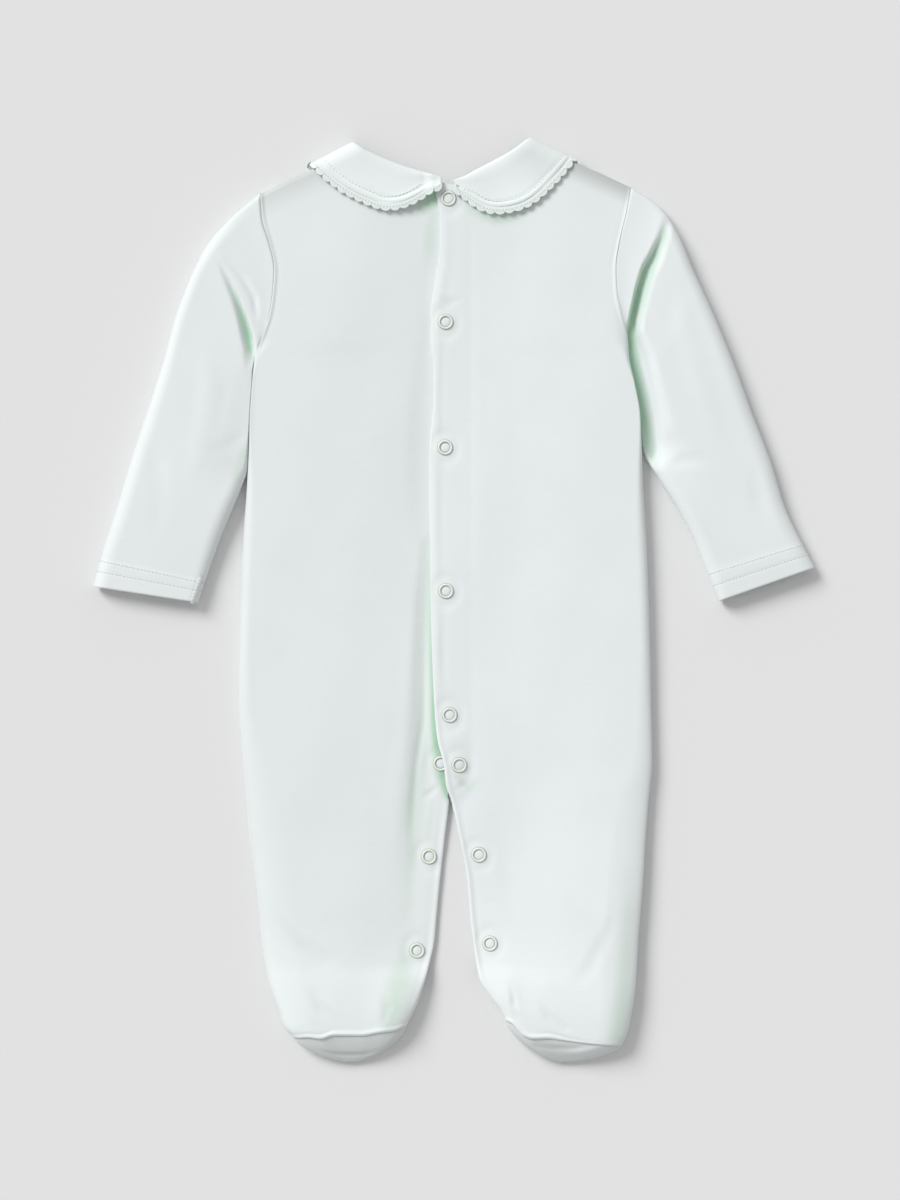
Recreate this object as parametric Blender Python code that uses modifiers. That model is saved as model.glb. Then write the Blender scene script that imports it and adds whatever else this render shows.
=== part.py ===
"""Footed baby sleepsuit, laid flat on its front with its back up.

X runs across the back, +Y runs from the feet to the neck and +Z rises from the
surface that the garment lies on. The origin is on that surface, under the middle
of the garment. Tables and sizes are in millimetres and become metres in panel().

Every piece of cloth is an open surface with a Solidify modifier. The body is
described by straight cross rows (the BODY table), which are then bent at the top
to the shoulder and neck lines and at the bottom to the seams of the soles. Its
back lies on its front like a flattened tube, puffed at the sides and low along
the placket. Left and right are as seen from above, so left is -X.
"""
import math

import bmesh
import bpy
import numpy as np
from mathutils import Vector

MM = 0.001
LEFT = -1
RIGHT = 1

# Cloth
WALL = 1.2                # thickness of one layer of cotton jersey
SEAM = 0.3                # gap between pieces at a seam or where one lies on another
LAP = WALL + SEAM         # rise of a piece that lies on another

# Body
CROTCH_Y = -120.0
NECK_ROW = 246.0          # nominal row that is bent to the shoulder and neck lines
BEND_ROW = 150.0          # row below which the neck bend has died out
FOOT_ROW = -262.0         # nominal row that is bent to the seam of the sole
ANKLE_ROW = -205.0        # row above which that bend has died out
SHOULDER_ROLL = 6.0       # depth of the rolled fold along the shoulders
UNDER_ROLL = 0.6          # rolls of the lower layer, as a share of the upper layer's
SEAM_LIP = 1.0            # height over which the edges at a side seam stand upright
ARMHOLE_END = 140.0       # row just below both underarms
NECK_LEFT = -62.0         # where the shoulder lines meet the neckline
NECK_RIGHT = 45.3
NECK_BLEND = 4.0
PLACKET_WIDTH = 13.0      # flat strip beside the placket's middle line
LEG_PLACKET_WIDTH = 16.0
STRIP_ROWS = (-145.0, -95.0)    # the strip changes from one width to the other
LAP_ACROSS = (3.5, 25.5)        # where the right half's rise over the left dies out
LAP_DOWN = (-132.0, -122.0)
SIDE_ROWS = (-12.0, 18.0)       # the side fold ends between these, from the underarm
SEWN_LEG_ROWS = (-245.0, -215.0)   # the inner leg is a fold below and open edges above
FRONT_INSET = 1.2         # the front's inner-leg edge lies this far inside the back's
INSET_ROWS = (-240.0, -220.0)

# Steps of the body's grids
BACK_COLUMNS = 13
FRONT_COLUMNS = 9
FOLD_STEPS = 3
ARMHOLE_STEPS = 10
BACK_TORSO_STEPS = 13
FRONT_TORSO_STEPS = 7
LEG_STEPS = 5
FOOT_STEPS = 6

# Sections across the body. left and right are the outline, inner_left and
# inner_right the inner edges of the legs, crest the height beside the side folds,
# middle the height at the placket and roll the width of the rounded side folds.
BODY = """
    y     left    right  inner_left  inner_right  crest  middle  roll
  246   -115.5    106.0      -3.0       -3.0        8.4     6.8    12
  230   -115.5    103.0      -3.0       -3.0        8.8     6.6    12
  214   -111.0     99.2      -3.0       -3.0        9.2     6.2    12
  198   -108.0     96.8      -3.0       -3.0        9.6     5.7    12
  184   -108.9     97.4      -3.0       -3.0        9.8     5.4    12
  170   -111.2    100.7      -3.0       -3.0       10.0     5.3    12
  158   -115.3    103.8      -3.0       -3.0       10.2     5.2    12
  146   -119.9    104.8      -3.0       -3.0       10.4     5.2    12
  130   -121.5    108.2      -3.0       -3.0       10.7     5.2    12
  112   -122.8    111.4      -3.0       -3.0       10.9     5.2    12
   70   -124.5    113.1      -3.0       -3.0       11.0     5.2    12
   34   -126.9    115.2      -3.0       -3.0       11.0     5.2    13
  -24   -128.7    117.2      -3.0       -3.0       11.2     5.2    13
  -60   -129.3    117.9      -3.0       -3.0       11.6     5.0    14
  -96   -126.9    118.5      -3.0       -3.0       12.4     4.2    16
 -120   -125.0    116.4      -3.0       -3.0       13.4     3.2    18
 -140   -123.5    114.8      -5.3        2.3       14.2     2.8    20
 -168   -119.4    113.1      -8.5        7.6       15.0     2.8    21
 -190   -117.0    111.3     -10.6        9.4       15.4     2.8    21
 -205   -115.7    110.1     -12.0       11.2       15.4     2.9    21
 -218   -113.6    109.4     -14.7       12.9       15.2     4.0    21
 -232   -110.3    108.2     -17.7       15.3       15.0     8.5    20
 -247   -105.0    105.4     -21.9       22.5       14.8    12.5    19
 -255   -102.4    103.4     -25.4       27.6       14.6    13.6    18
 -262    -96.0    100.0     -29.0       31.0       14.4    14.0    17
"""

# Free edges along the placket. top is the right half's edge, which laps over the
# left half's edge, named under.
PLACKET = """
    y     top    under
  252    -7.5     3.3
  240   -11.4     3.3
  226    -8.7     3.3
  208    -8.7     3.3
  188   -11.4     3.3
  172   -13.7     3.3
  154   -13.7     3.3
  138   -12.0     3.3
  120   -12.0     3.3
  103   -13.7     3.3
   86   -14.7     3.3
   32   -14.5     3.3
   -7   -14.1     3.3
  -46   -12.9     3.3
  -72   -11.5     3.0
  -84   -10.2     1.5
  -98    -6.6    -0.5
 -112    -4.8    -3.0
 -120    -2.0    -4.0
"""

# Upper edge of the back and of the front, and the seams of the soles, from left
# to right.
BACK_TOP = """
      x       y
 -115.5   244.5
 -103.0   250.6
  -90.0   256.4
  -62.0   270.5
  -46.0   264.0
  -29.4   257.6
  -15.0   253.2
   -7.5   250.6
   -1.5   249.6
   10.0   253.8
   22.5   260.4
   37.2   268.6
   45.3   273.2
   59.0   268.0
   74.0   262.0
   90.0   255.2
  106.0   247.8
"""
FRONT_TOP = """
      x       y
 -115.5   244.5
 -103.0   250.6
  -90.0   256.4
  -62.0   270.5
  -57.0   255.0
  -50.0   243.5
  -38.0   232.5
  -22.0   225.0
   -8.0   222.0
    6.0   224.5
   20.0   231.5
   32.0   242.5
   40.0   255.0
   45.3   273.2
   59.0   268.0
   74.0   262.0
   90.0   255.2
  106.0   247.8
"""
HEEL_SEAM = """
      x       y
  -96.0  -262.0
  -85.0  -261.6
  -70.0  -260.2
  -57.0  -261.0
  -46.0  -258.8
  -29.0  -255.6
   31.0  -252.2
   38.0  -256.6
   46.0  -261.6
   62.0  -262.2
   81.0  -264.6
  100.0  -266.6
"""
TOE_RISE = 22.0           # the toe seam underneath lies this much further up the leg
SOLE_GAP = 0.45           # the soles' seams are cut from straight runs, so a little more
SOLE_TIP = (-277.5, 6.0)  # y and height of the end of each foot
SOLE_RINGS = 7
SOLE_TIP_RING = 0.16      # size of the last ring, as a share of the first
SOLE_FULLNESS = 1.5       # power of the rounded outline
SOLE_FLATNESS = 0.6       # power of the underside, which stays low to the tip

# Soft folds as lines of points: half_width and depth at each point. A negative
# depth is a ridge.
LEFT_BODY_FOLDS = ["""
      x      y  half_width  depth
  -16.0   34.0     3.5       0.4
  -18.5    0.0     4.0       1.0
  -20.0  -46.0     4.5       1.2
  -20.0  -80.0     5.5       1.4
  -21.0 -112.0     7.0       2.0
  -24.0 -140.0     7.5       2.4
  -28.0 -175.0     7.0       2.0
  -31.0 -215.0     6.0       0.5
"""]
RIGHT_BODY_FOLDS = ["""
      x      y  half_width  depth
   -4.0  -88.0    10.0      -0.9
   -5.0  -98.0    11.0      -1.6
   -3.0 -108.0    10.0      -1.2
"""]

# Sleeves, in sections from the armhole (0) to the hem (11). loft is the height,
# lip the height at the inner edge, roll the width of the rounding at that edge.
SLEEVE_ROWS = 11
SLEEVES = {
    LEFT: """
  row  outer_x  outer_y  inner_x  inner_y  loft   lip  roll
    0   -115.5    244.5   -120.5    146.7    9.2   7.0   4.0
    1   -134.7    228.3   -122.0    137.0   10.6   3.2   1.6
    2   -147.4    214.2   -121.4    127.0   11.6   3.2   1.6
    3   -155.9    199.5   -122.0    117.0   12.2   3.2   1.6
    4   -162.0    185.1   -122.5    107.0   12.4   3.2   1.6
    5   -167.3    170.7   -122.9     97.0   12.4   3.2   1.6
    6   -175.2    141.9   -124.0     80.0   12.2   5.5   3.5
    7   -184.4    113.1   -128.2     67.0   12.0  10.5   7.0
    8   -194.0     84.3   -134.4     52.0   11.6  11.5   8.0
    9   -202.6     55.5   -140.8     36.5   11.0  11.0   8.0
   10   -211.4     28.5   -147.8     17.0   10.2  10.2   7.0
   11   -216.9      8.3   -154.1     -1.3    9.6   9.6   6.0
""",
    RIGHT: """
  row  outer_x  outer_y  inner_x  inner_y  loft   lip  roll
    0    106.0    247.8    104.2    162.0    9.2   7.0   4.0
    1    124.5    235.0    104.9    152.0   10.6   3.2   1.6
    2    134.6    219.0    105.6    141.0   11.8   3.2   1.6
    3    142.7    199.5    108.0    129.0   12.4   3.2   1.6
    4    149.3    185.1    110.0    118.0   12.8   3.2   1.6
    5    155.8    170.7    111.6    107.0   12.8   3.2   1.6
    6    167.6    141.9    113.6     90.0   12.6   4.0   2.0
    7    178.2    113.1    122.0     74.0   12.2  10.8   7.0
    8    189.3     84.3    134.0     54.5   11.8  11.6   8.0
    9    198.4     55.5    143.6     36.5   11.2  11.2   8.0
   10    209.6     32.5    152.6     14.5   10.4  10.4   7.0
   11    216.3     19.9    158.7     -0.3    9.6   9.6   6.0
""",
}
SLEEVE_STEPS = 22
OVER_COLUMNS = 15
UNDER_COLUMNS = 12
ARMHOLE_GAP = 0.6         # the armhole's curve is cut from straight runs, so a little more
OUTER_ROLL = 12.0         # width of the rounding along a sleeve's outer fold
LIP_RISE = 24.0           # the cloth rises from the lip to the full loft over this
ARMHOLE_FADE = 3.2        # rows over which the armhole's curve dies out
SEAM_FADE = 1.8           # rows over which the body's height at the seam dies out
SEAM_END = 4.0            # the sleeve's two layers part over this much at the underarm
INSIDE_GAP = 1.0          # least space between a sleeve's layers, in its folds
UNDERARM_Y = {LEFT: 146.7, RIGHT: 162.0}
CUFF_SLIP = {LEFT: 0.0, RIGHT: 3.0}   # the lower layer shows this far past the hem
SLIP_SIDEWAYS = 0.3       # and this share of it to the outside
SLEEVE_FOLDS = {
    LEFT: ["""
      x      y  half_width  depth
 -139.0  201.0     2.5       0.6
 -133.0  190.0     3.5       2.2
 -127.5  176.0     4.5       4.0
 -123.0  162.0     5.0       5.0
 -120.5  149.0     4.5       4.5
""", """
      x      y  half_width  depth
 -135.5  203.0     3.0       0.8
 -126.0  192.5     3.5       2.0
 -118.8  181.0     3.5       2.0
 -118.6  171.0     3.5       1.0
"""],
    RIGHT: ["""
      x      y  half_width  depth
  131.0  222.0     3.0       0.8
  126.0  213.0     4.0       2.2
  120.5  205.0     4.5       4.2
  115.0  195.0     5.0       6.5
  110.6  184.0     5.5       7.6
  107.8  172.0     5.5       7.8
  107.0  160.0     6.0       7.8
  108.5  146.0     6.5       7.8
  112.5  127.0     7.0       7.8
  115.8  110.0     6.5       7.8
  118.0   94.0     5.0       6.0
  120.5   80.0     3.0       0.0
"""],
}

# Collar halves from the centre back to the shoulder fold, as seen from above, and
# from the shoulder fold to the centre front, underneath. edge is the outer edge
# with its picot trim, fold the rolled edge at the neck.
COLLAR_FOLD_BACK = {
    LEFT: "x y  -8.6 253.4  -15.3 255.9  -29.4 260.1  -45.9 266.7  -58.0 273.0",
    RIGHT: "x y  -1.5 251.6  5.7 254.1  11.5 257.4  22.5 263.1  37.2 271.8  42.5 275.6",
}
COLLAR_EDGE_BACK = {
    LEFT: """x y  -8.5 249.2  -11.0 246.2  -15.3 243.2  -23.4 237.2  -33.3 233.6
             -43.2 233.2  -53.1 236.6  -67.2 243.6  -77.1 251.0""",
    RIGHT: """x y  0.0 248.1  1.4 244.8  3.9 241.4  11.4 235.3  17.5 232.2  24.9 230.9
              35.1 231.9  45.3 235.6  53.7 241.6  62.1 250.1""",
}
COLLAR_FOLD_FRONT = {
    LEFT: "x y  -55.5 257.0  -48.5 245.5  -36.5 235.0  -22.0 227.6  -10.5 225.0",
    RIGHT: "x y  39.5 257.0  32.5 245.5  20.5 235.0  6.0 227.6  -5.5 225.0",
}
COLLAR_EDGE_FRONT = {
    LEFT: """x y  -80.5 236.0  -71.5 217.0  -56.0 202.0  -38.0 193.0  -22.0 192.0
             -13.0 198.0  -9.8 210.0  -9.5 221.0""",
    RIGHT: """x y  64.5 236.0  55.5 217.0  40.0 202.0  22.0 193.0  6.0 192.0
              -3.0 198.0  -6.2 210.0  -6.5 221.0""",
}
SHOULDER_FOLD = {         # silhouette of the folded collar on each shoulder
    LEFT: ((-61.1, 275.3), (-89.1, 260.7)),
    RIGHT: ((45.3, 278.1), (74.3, 264.0)),
}
COLLAR_ROLL = 9.0         # depth of the collar's fold round the shoulder
COLLAR_FOLD_HEIGHT = 4.8  # half the height of that fold
COLLAR_ARC = (0.33, 0.58)    # shares of the collar's length that go round the fold
COLLAR_ACROSS = [0, 0.05, 0.16, 0.4, 0.7, 1.0]     # from the neck fold to the edging
COLLAR_PUFF = [-0.84, 0.98, 1.4, 0.84, 0.28, 0.0]  # height that each of these adds
COLLAR_END = 0.1          # share of the length over which this dies out at the ends
OVER_PLACKET = (-19.0, -13.0)   # there the left half climbs over the right back's edge
COLLAR_REST = LAP + 0.4   # height of the collar's outer face over the back's
COLLAR_LIFT = LAP + 0.85  # height of the front's outer face over the surface, there
COLLAR_OVAL = (-8.0, 268.0, 92.0, 86.0)   # centre and radii of what the collar lifts
OVAL_BLEND = (1.0, 1.16)  # the lift dies out between these multiples of the radii
TRIM_WIDTH = 4.8
TRIM_END = (0.3, 0.05)    # width at the ends, and the share of the length that narrows
TRIM_GAP = 0.45
PICOT_PITCH = 4.8
PICOT_DEPTH = 1.3

# Snaps
SNAP_OUTER = 4.9
SNAP_INNER = 2.9
SNAP_HEIGHT = 0.9
SNAP_SHOULDER = 0.6       # height of the ring's rims
SNAP_SLOPE = 0.2          # their lean
SNAP_SIDES = 16
BACK_SNAPS = "x y  -3.6 240.9  -5.3 167.1  -5.6 91.8  -5.1 5.7  -2.9 -68.7"
LEG_SNAPS = {
    LEFT: "x y  -8.3 -97.9  -15.3 -153.9  -22.5 -210.3",
    RIGHT: "x y  2.9 -98.7  14.7 -152.7  21.3 -206.1",
}

CLOTH = (0.80, 0.87, 0.85, 1.0)
EDGING = (0.82, 0.90, 0.87, 1.0)
SNAP_PAINT = (0.80, 0.84, 0.72, 1.0)


# ---------------------------------------------------------------- tables and curves

def table(text):
    """Named columns from a short table; the first words are the column names."""
    words = text.split()
    count = sum(1 for word in words if word[0].isalpha())
    values = np.array([float(word) for word in words[count:]]).reshape(-1, count)
    return dict(zip(words[:count], values.T))


def smooth_curve(at, keys, values, slopes):
    """Cubic curve through the values, flat beyond the first and last key."""
    at = np.clip(at, keys[0], keys[-1])
    i = np.clip(np.searchsorted(keys, at) - 1, 0, len(keys) - 2)
    step = keys[i + 1] - keys[i]
    t = (at - keys[i]) / step
    return ((1 + 2 * t) * (1 - t) ** 2 * values[i] + t * (1 - t) ** 2 * step * slopes[i]
            + t ** 2 * (3 - 2 * t) * values[i + 1] + t ** 2 * (t - 1) * step * slopes[i + 1])


def read(rows, column, at):
    """A column of a table as a smooth curve of its first column, without overshoot."""
    keys, values = next(iter(rows.values())), rows[column]
    if keys[0] > keys[-1]:
        keys, values = keys[::-1], values[::-1]
    steps = np.diff(keys)
    rises = np.diff(values) / steps
    slopes = np.concatenate([rises[:1], np.zeros(len(keys) - 2), rises[-1:]])
    before, after = rises[:-1], rises[1:]
    same = before * after > 0
    weight_before, weight_after = 2 * steps[1:] + steps[:-1], steps[1:] + 2 * steps[:-1]
    slopes[1:-1][same] = ((weight_before + weight_after)[same]
                          / (weight_before[same] / before[same] + weight_after[same] / after[same]))
    return smooth_curve(at, keys, values, slopes)


def path(points, share):
    """Points at the given shares of the length of a smooth curve through points."""
    points = np.asarray(points)
    reach = np.concatenate([[0], np.cumsum(np.hypot(*np.diff(points, axis=0).T))])
    at = np.asarray(share) * reach[-1]
    slopes = np.gradient(points, reach, axis=0)
    return np.stack([smooth_curve(at, reach, points[:, k], slopes[:, k]) for k in (0, 1)], -1)


def ease(t):
    t = np.clip(t, 0, 1)
    return t * t * (3 - 2 * t)


def fade(value, ends):
    """Rises softly from 0 at the first of two ends to 1 at the second."""
    return ease((value - ends[0]) / (ends[1] - ends[0]))


def rounding(t):
    """Quarter circle that rises from 0 at t = 0 to 1 at t = 1."""
    return np.sqrt(1 - (1 - np.clip(t, 0, 1)) ** 2)


def mix(a, b, t):
    return a + (b - a) * t


def spread(count):
    """Shares from 0 to 1 that crowd towards both ends."""
    return (1 - np.cos(np.linspace(0, math.pi, count))) / 2


def fold_depth(x, y, folds):
    """Depth at x, y of soft troughs along lines of points."""
    total = np.zeros(np.broadcast(x, y).shape)
    for fold in folds:
        line = table(fold)
        deepest = np.zeros_like(total)
        for i in range(len(line["x"]) - 1):
            ax, ay = line["x"][i], line["y"][i]
            dx, dy = line["x"][i + 1] - ax, line["y"][i + 1] - ay
            along = np.clip(((x - ax) * dx + (y - ay) * dy) / (dx * dx + dy * dy), 0, 1)
            off = np.hypot(x - ax - along * dx, y - ay - along * dy)
            width = mix(line["half_width"][i], line["half_width"][i + 1], along)
            depth = mix(line["depth"][i], line["depth"][i + 1], along)
            here = depth * (1 - ease(off / (1.7 * width)))
            deepest = np.where(np.abs(here) > np.abs(deepest), here, deepest)
        total = total + deepest
    return total


BODY = table(BODY)
PLACKET = table(PLACKET)
BACK_TOP = table(BACK_TOP)
FRONT_TOP = table(FRONT_TOP)
HEEL_SEAM = table(HEEL_SEAM)
SLEEVES = {half: table(text) for half, text in SLEEVES.items()}


# ---------------------------------------------------------------- the body's form

def outer_edge(y, half):
    return read(BODY, "left" if half == LEFT else "right", y)


def inner_edge(y, half):
    return read(BODY, "inner_left" if half == LEFT else "inner_right", y)


def free_edge(y, half):
    """Edge of a back half along the placket and down its inner leg."""
    along_placket = read(PLACKET, "under" if half == LEFT else "top", y)
    return np.where(y > CROTCH_Y, along_placket, inner_edge(y, half))


def collar_lift(x, y):
    """Height of the front panel where it lies on the collar's front."""
    middle_x, middle_y, half_width, half_length = COLLAR_OVAL
    reach = np.hypot((x - middle_x) / half_width, (y - middle_y) / half_length)
    return COLLAR_LIFT * (1 - fade(reach, OVAL_BLEND))


def crown(x, y, half):
    """Height of the back before its edges are rounded down."""
    crest, middle, roll = (read(BODY, name, y) for name in ("crest", "middle", "roll"))
    outer, inner = outer_edge(y, half), inner_edge(y, half)
    strip = mix(LEG_PLACKET_WIDTH, PLACKET_WIDTH, fade(y, STRIP_ROWS))
    from_inner = (x - inner) * half
    share = np.clip((from_inner - strip) / (np.abs(outer - inner) - roll - strip), 0, 1)
    height = mix(middle, crest, 1 - (1 - share) ** 2)
    if half == RIGHT:
        height = height + LAP * (1 - fade(x, LAP_ACROSS)) * fade(y, LAP_DOWN)
    return height


def rounding_down(x, y, half, narrow=1.0):
    """Share of the full height left near the side, shoulder and foot folds."""
    roll = read(BODY, "roll", y) * narrow
    side = rounding((outer_edge(y, half) - x) * half / roll)
    closed = 1 - fade(y - UNDERARM_Y[half], SIDE_ROWS)
    leg = rounding((x - inner_edge(y, half)) * half / roll)
    sewn_leg = 1 - fade(y, SEWN_LEG_ROWS)
    below = read(BACK_TOP, "y", x) - y
    top = rounding(below / (SHOULDER_ROLL * narrow))
    left = 1 - fade(x - NECK_LEFT, (-NECK_BLEND, NECK_BLEND))
    right = fade(x - NECK_RIGHT, (-NECK_BLEND, NECK_BLEND))
    return mix(1, side, closed) * mix(1, leg, sewn_leg) * mix(1, top, np.maximum(left, right))


def upper_height(x, y, half):
    """Outer height of the back at x, y; y is the nominal row below the crotch."""
    folds = LEFT_BODY_FOLDS if half == LEFT else RIGHT_BODY_FOLDS
    full, base = crown(x, y, half), collar_lift(x, y)
    share = rounding_down(x, y, half)
    shaped = (full + base) / 2 + mix(SEAM_LIP, (full - base) / 2, share)
    return np.maximum(shaped - fold_depth(x, y, folds), base + WALL + LAP)


def lower_height(x, y, half):
    """Outer height of the front, which faces the surface."""
    full, base = crown(x, y, half), collar_lift(x, y)
    share = rounding_down(x, y, half, UNDER_ROLL)
    return (full + base) / 2 - mix(SEAM_LIP, (full - base) / 2, share)


def with_lips(x, y, z, share, towards):
    """Turn the edges that a seam closes upright for a short way, so they meet squarely.

    share is rounding_down() and towards the direction of the other layer in z.
    """
    x, y, z, share = (np.pad(values, ((1, 0), (1, 1)), mode="edge") for values in (x, y, z, share))
    lip = (SEAM_LIP - SEAM / 2) * (1 - share) * towards
    border = np.ones(z.shape, dtype=bool)
    border[1:, 1:-1] = False
    return np.stack([x, y, z + np.where(border, lip, 0)], -1)


def bent(x, row, top, rise=0.0):
    """Real y of a nominal row, bent to the upper edge and to the sole's seam."""
    up = (read(top, "y", x) - NECK_ROW) * fade(row, (BEND_ROW, NECK_ROW))
    down = (read(HEEL_SEAM, "y", x) + rise - FOOT_ROW) * fade(row, (ANKLE_ROW, FOOT_ROW))
    return row + up + down


def body_rows(torso_steps):
    """Nominal rows from the neck to the feet, crowded at the shoulder fold."""
    turn = np.linspace(0, math.pi / 2, FOLD_STEPS + 1)
    rows = [NECK_ROW - SHOULDER_ROLL * (1 - np.cos(turn))]
    start = NECK_ROW - SHOULDER_ROLL
    for end, steps in ((ARMHOLE_END, ARMHOLE_STEPS), (CROTCH_Y, torso_steps),
                       (ANKLE_ROW, LEG_STEPS), (FOOT_ROW, FOOT_STEPS)):
        rows.append(np.linspace(start, end, steps + 1)[1:])
        start = end
    return np.concatenate(rows)[:, None]


def toe_rise(x, half):
    """How far the toe seam lies above the heel seam across the foot."""
    outer, inner = outer_edge(FOOT_ROW, half), inner_edge(FOOT_ROW, half)
    return TOE_RISE * np.sin(math.pi * np.clip((x - outer) / (inner - outer), 0, 1))


def back_grid(half):
    row = body_rows(BACK_TORSO_STEPS)
    x = mix(outer_edge(row, half), free_edge(row, half), spread(BACK_COLUMNS)[None, :])
    y = bent(x, row, BACK_TOP)
    level = np.where(row < CROTCH_Y, row, y)
    share = rounding_down(x, level, half)
    return with_lips(x, y, upper_height(x, level, half), share, -1)


def front_grid(half):
    row = body_rows(FRONT_TORSO_STEPS)
    inset = FRONT_INSET * fade(row, INSET_ROWS) * (row < CROTCH_Y)
    x = mix(outer_edge(row, half), inner_edge(row, half) + inset * half,
            spread(FRONT_COLUMNS)[None, :])
    y = bent(x, row, FRONT_TOP, toe_rise(x, half))
    level = np.where(row < CROTCH_Y, row, y)
    share = rounding_down(x, level, half, UNDER_ROLL)
    return with_lips(x, y, lower_height(x, level, half), share, 1)


# ---------------------------------------------------------------- sleeves

def armhole(share, half):
    """Point on the armhole seam, from the shoulder (0) to the underarm (1)."""
    y = mix(SLEEVES[half]["outer_y"][0], UNDERARM_Y[half], share)
    return outer_edge(y, half), y


def sleeve_points(across, row, half, under=False):
    """Outer surface of a sleeve; across runs from its outer (0) to its inner fold."""
    rows = SLEEVES[half]
    ox, oy, ix, iy, loft, lip, roll = (
        read(rows, name, row) for name in rows if name != "row")
    ax, ay = armhole(across, half)
    chord = [read(rows, name, 0.0) for name in ("outer_x", "outer_y", "inner_x", "inner_y")]
    keep = 1 - ease(row / ARMHOLE_FADE)
    seam_shift = ARMHOLE_GAP * half
    x = mix(ox, ix, across) + (ax + seam_shift - mix(chord[0], chord[2], across)) * keep
    y = mix(oy, iy, across) + (ay - mix(chord[1], chord[3], across)) * keep
    width = np.hypot(ox - ix, oy - iy)
    from_inner = (1 - across) * width
    narrow = UNDER_ROLL if under else 1.0
    height = mix(lip, loft, ease((from_inner - roll) / LIP_RISE))
    folded = (rounding(across * width / (OUTER_ROLL * narrow))
              * rounding(from_inner / (roll * narrow)))
    seam_form = lower_height if under else upper_height
    seam = seam_form(ax, ay, half)
    seam_middle = (upper_height(ax, ay, half) + lower_height(ax, ay, half)) / 2
    seam = mix(seam_middle, seam, rounding(from_inner / SEAM_END))
    joined = ease(row / SEAM_FADE)
    if under:
        z = mix(seam, height / 2 * (1 - folded), joined)
        slip = CUFF_SLIP[half] * np.sin(math.pi * across) ** 2 * ease(row - SLEEVE_ROWS + 1)
        return np.stack([x + slip * SLIP_SIDEWAYS * half, y - slip, z], -1)
    z = mix(seam, height / 2 * (1 + folded), joined)
    sunk = fold_depth(x, y, SLEEVE_FOLDS[half]) * rounding(across * width / OUTER_ROLL)
    floor = height / 2 + (2 * WALL + INSIDE_GAP - height / 2) * folded
    return np.stack([x, y, np.maximum(z - sunk, np.minimum(z, floor))], -1)


def sleeve_grid(half):
    """Closed rings from the armhole to the hem: over the top, back underneath."""
    row = np.linspace(0, SLEEVE_ROWS, SLEEVE_STEPS + 1)[:, None]
    over = sleeve_points(spread(OVER_COLUMNS)[None, :], row, half)
    shares = (spread(UNDER_COLUMNS) + np.linspace(0, 1, UNDER_COLUMNS)) / 2
    under = sleeve_points(shares[None, ::-1], row, half, under=True)
    return np.concatenate([over, under[:, 1:-1]], axis=1)


# ---------------------------------------------------------------- collar

class Fold:
    """The collar's fold round one shoulder, which wraps its flat pattern."""

    def __init__(self, half):
        start, end = (np.array(p) for p in SHOULDER_FOLD[half])
        self.half = half
        self.normal = np.array([start[1] - end[1], end[0] - start[0]])
        self.normal *= np.sign(self.normal[1]) / np.hypot(*self.normal)
        self.origin = start - self.normal * COLLAR_ROLL
        a, b = COLLAR_ROLL, COLLAR_FOLD_HEIGHT
        ellipse = math.pi * (3 * (a + b) - math.sqrt((3 * a + b) * (a + 3 * b)))
        self.arc = ellipse / 2

    def unfold(self, point):
        """Place in the flat pattern of a point that lies underneath."""
        point = np.asarray(point)
        past = (point - self.origin) @ self.normal
        return point + (self.arc - 2 * past)[..., None] * self.normal

    def wrap(self, point, above, below=0.0):
        """Flat pattern points to places round the shoulder, with their heights."""
        past = (point - self.origin) @ self.normal
        turn = np.clip(past / self.arc, 0, 1) * math.pi
        beyond = np.maximum(past - self.arc, 0)
        shift = COLLAR_ROLL * np.sin(turn) - np.maximum(past, 0) - beyond
        place = point + shift[..., None] * self.normal
        near = point - np.maximum(past, 0)[..., None] * self.normal
        top = crown(near[..., 0], near[..., 1], self.half) + above
        if self.half == LEFT:
            top = top + LAP * fade(near[..., 0], OVER_PLACKET)
        z = (top + below) / 2 + (top - below) / 2 * np.cos(turn)
        return np.concatenate([place, z[..., None]], -1)


def pairs(text):
    rows = table(text)
    return np.stack([rows["x"], rows["y"]], -1)


def collar_lines(half, share):
    """Neck fold and outer edge of the flat pattern, as matching rows of points."""
    fold = Fold(half)
    neck = np.concatenate([pairs(COLLAR_FOLD_BACK[half]),
                           fold.unfold(pairs(COLLAR_FOLD_FRONT[half]))])
    edge = np.concatenate([pairs(COLLAR_EDGE_BACK[half]),
                           fold.unfold(pairs(COLLAR_EDGE_FRONT[half]))])
    return path(neck, share), path(edge, share)


def inward(line, half):
    """Unit vectors from the collar's edge towards its neck fold."""
    along = np.gradient(line, axis=0)
    along /= np.hypot(*along.T)[:, None]
    return np.stack([-along[:, 1], along[:, 0]], -1) * half


def trim_width(share):
    """Width of the picot edging, which narrows to nothing much at its ends."""
    from_end = np.minimum(share, 1 - share)
    narrowest, length = TRIM_END
    return TRIM_WIDTH * mix(narrowest, 1, ease(from_end / length))[:, None]


def collar_grid(half):
    """Rows from the centre back to the centre front, closer together at the fold."""
    start, end = COLLAR_ARC
    rows = np.concatenate([np.linspace(0, start, 10), np.linspace(start, end, 14)[1:-1],
                           np.linspace(end, 1, 11)])
    neck, edge = collar_lines(half, rows)
    edge = edge + inward(edge, half) * trim_width(rows)
    flat = mix(neck[:, None], edge[:, None], np.array(COLLAR_ACROSS)[None, :, None])
    ends = ease(np.minimum(rows, 1 - rows) / COLLAR_END)[:, None]
    return Fold(half).wrap(flat, COLLAR_REST + np.array(COLLAR_PUFF) * ends)


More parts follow.
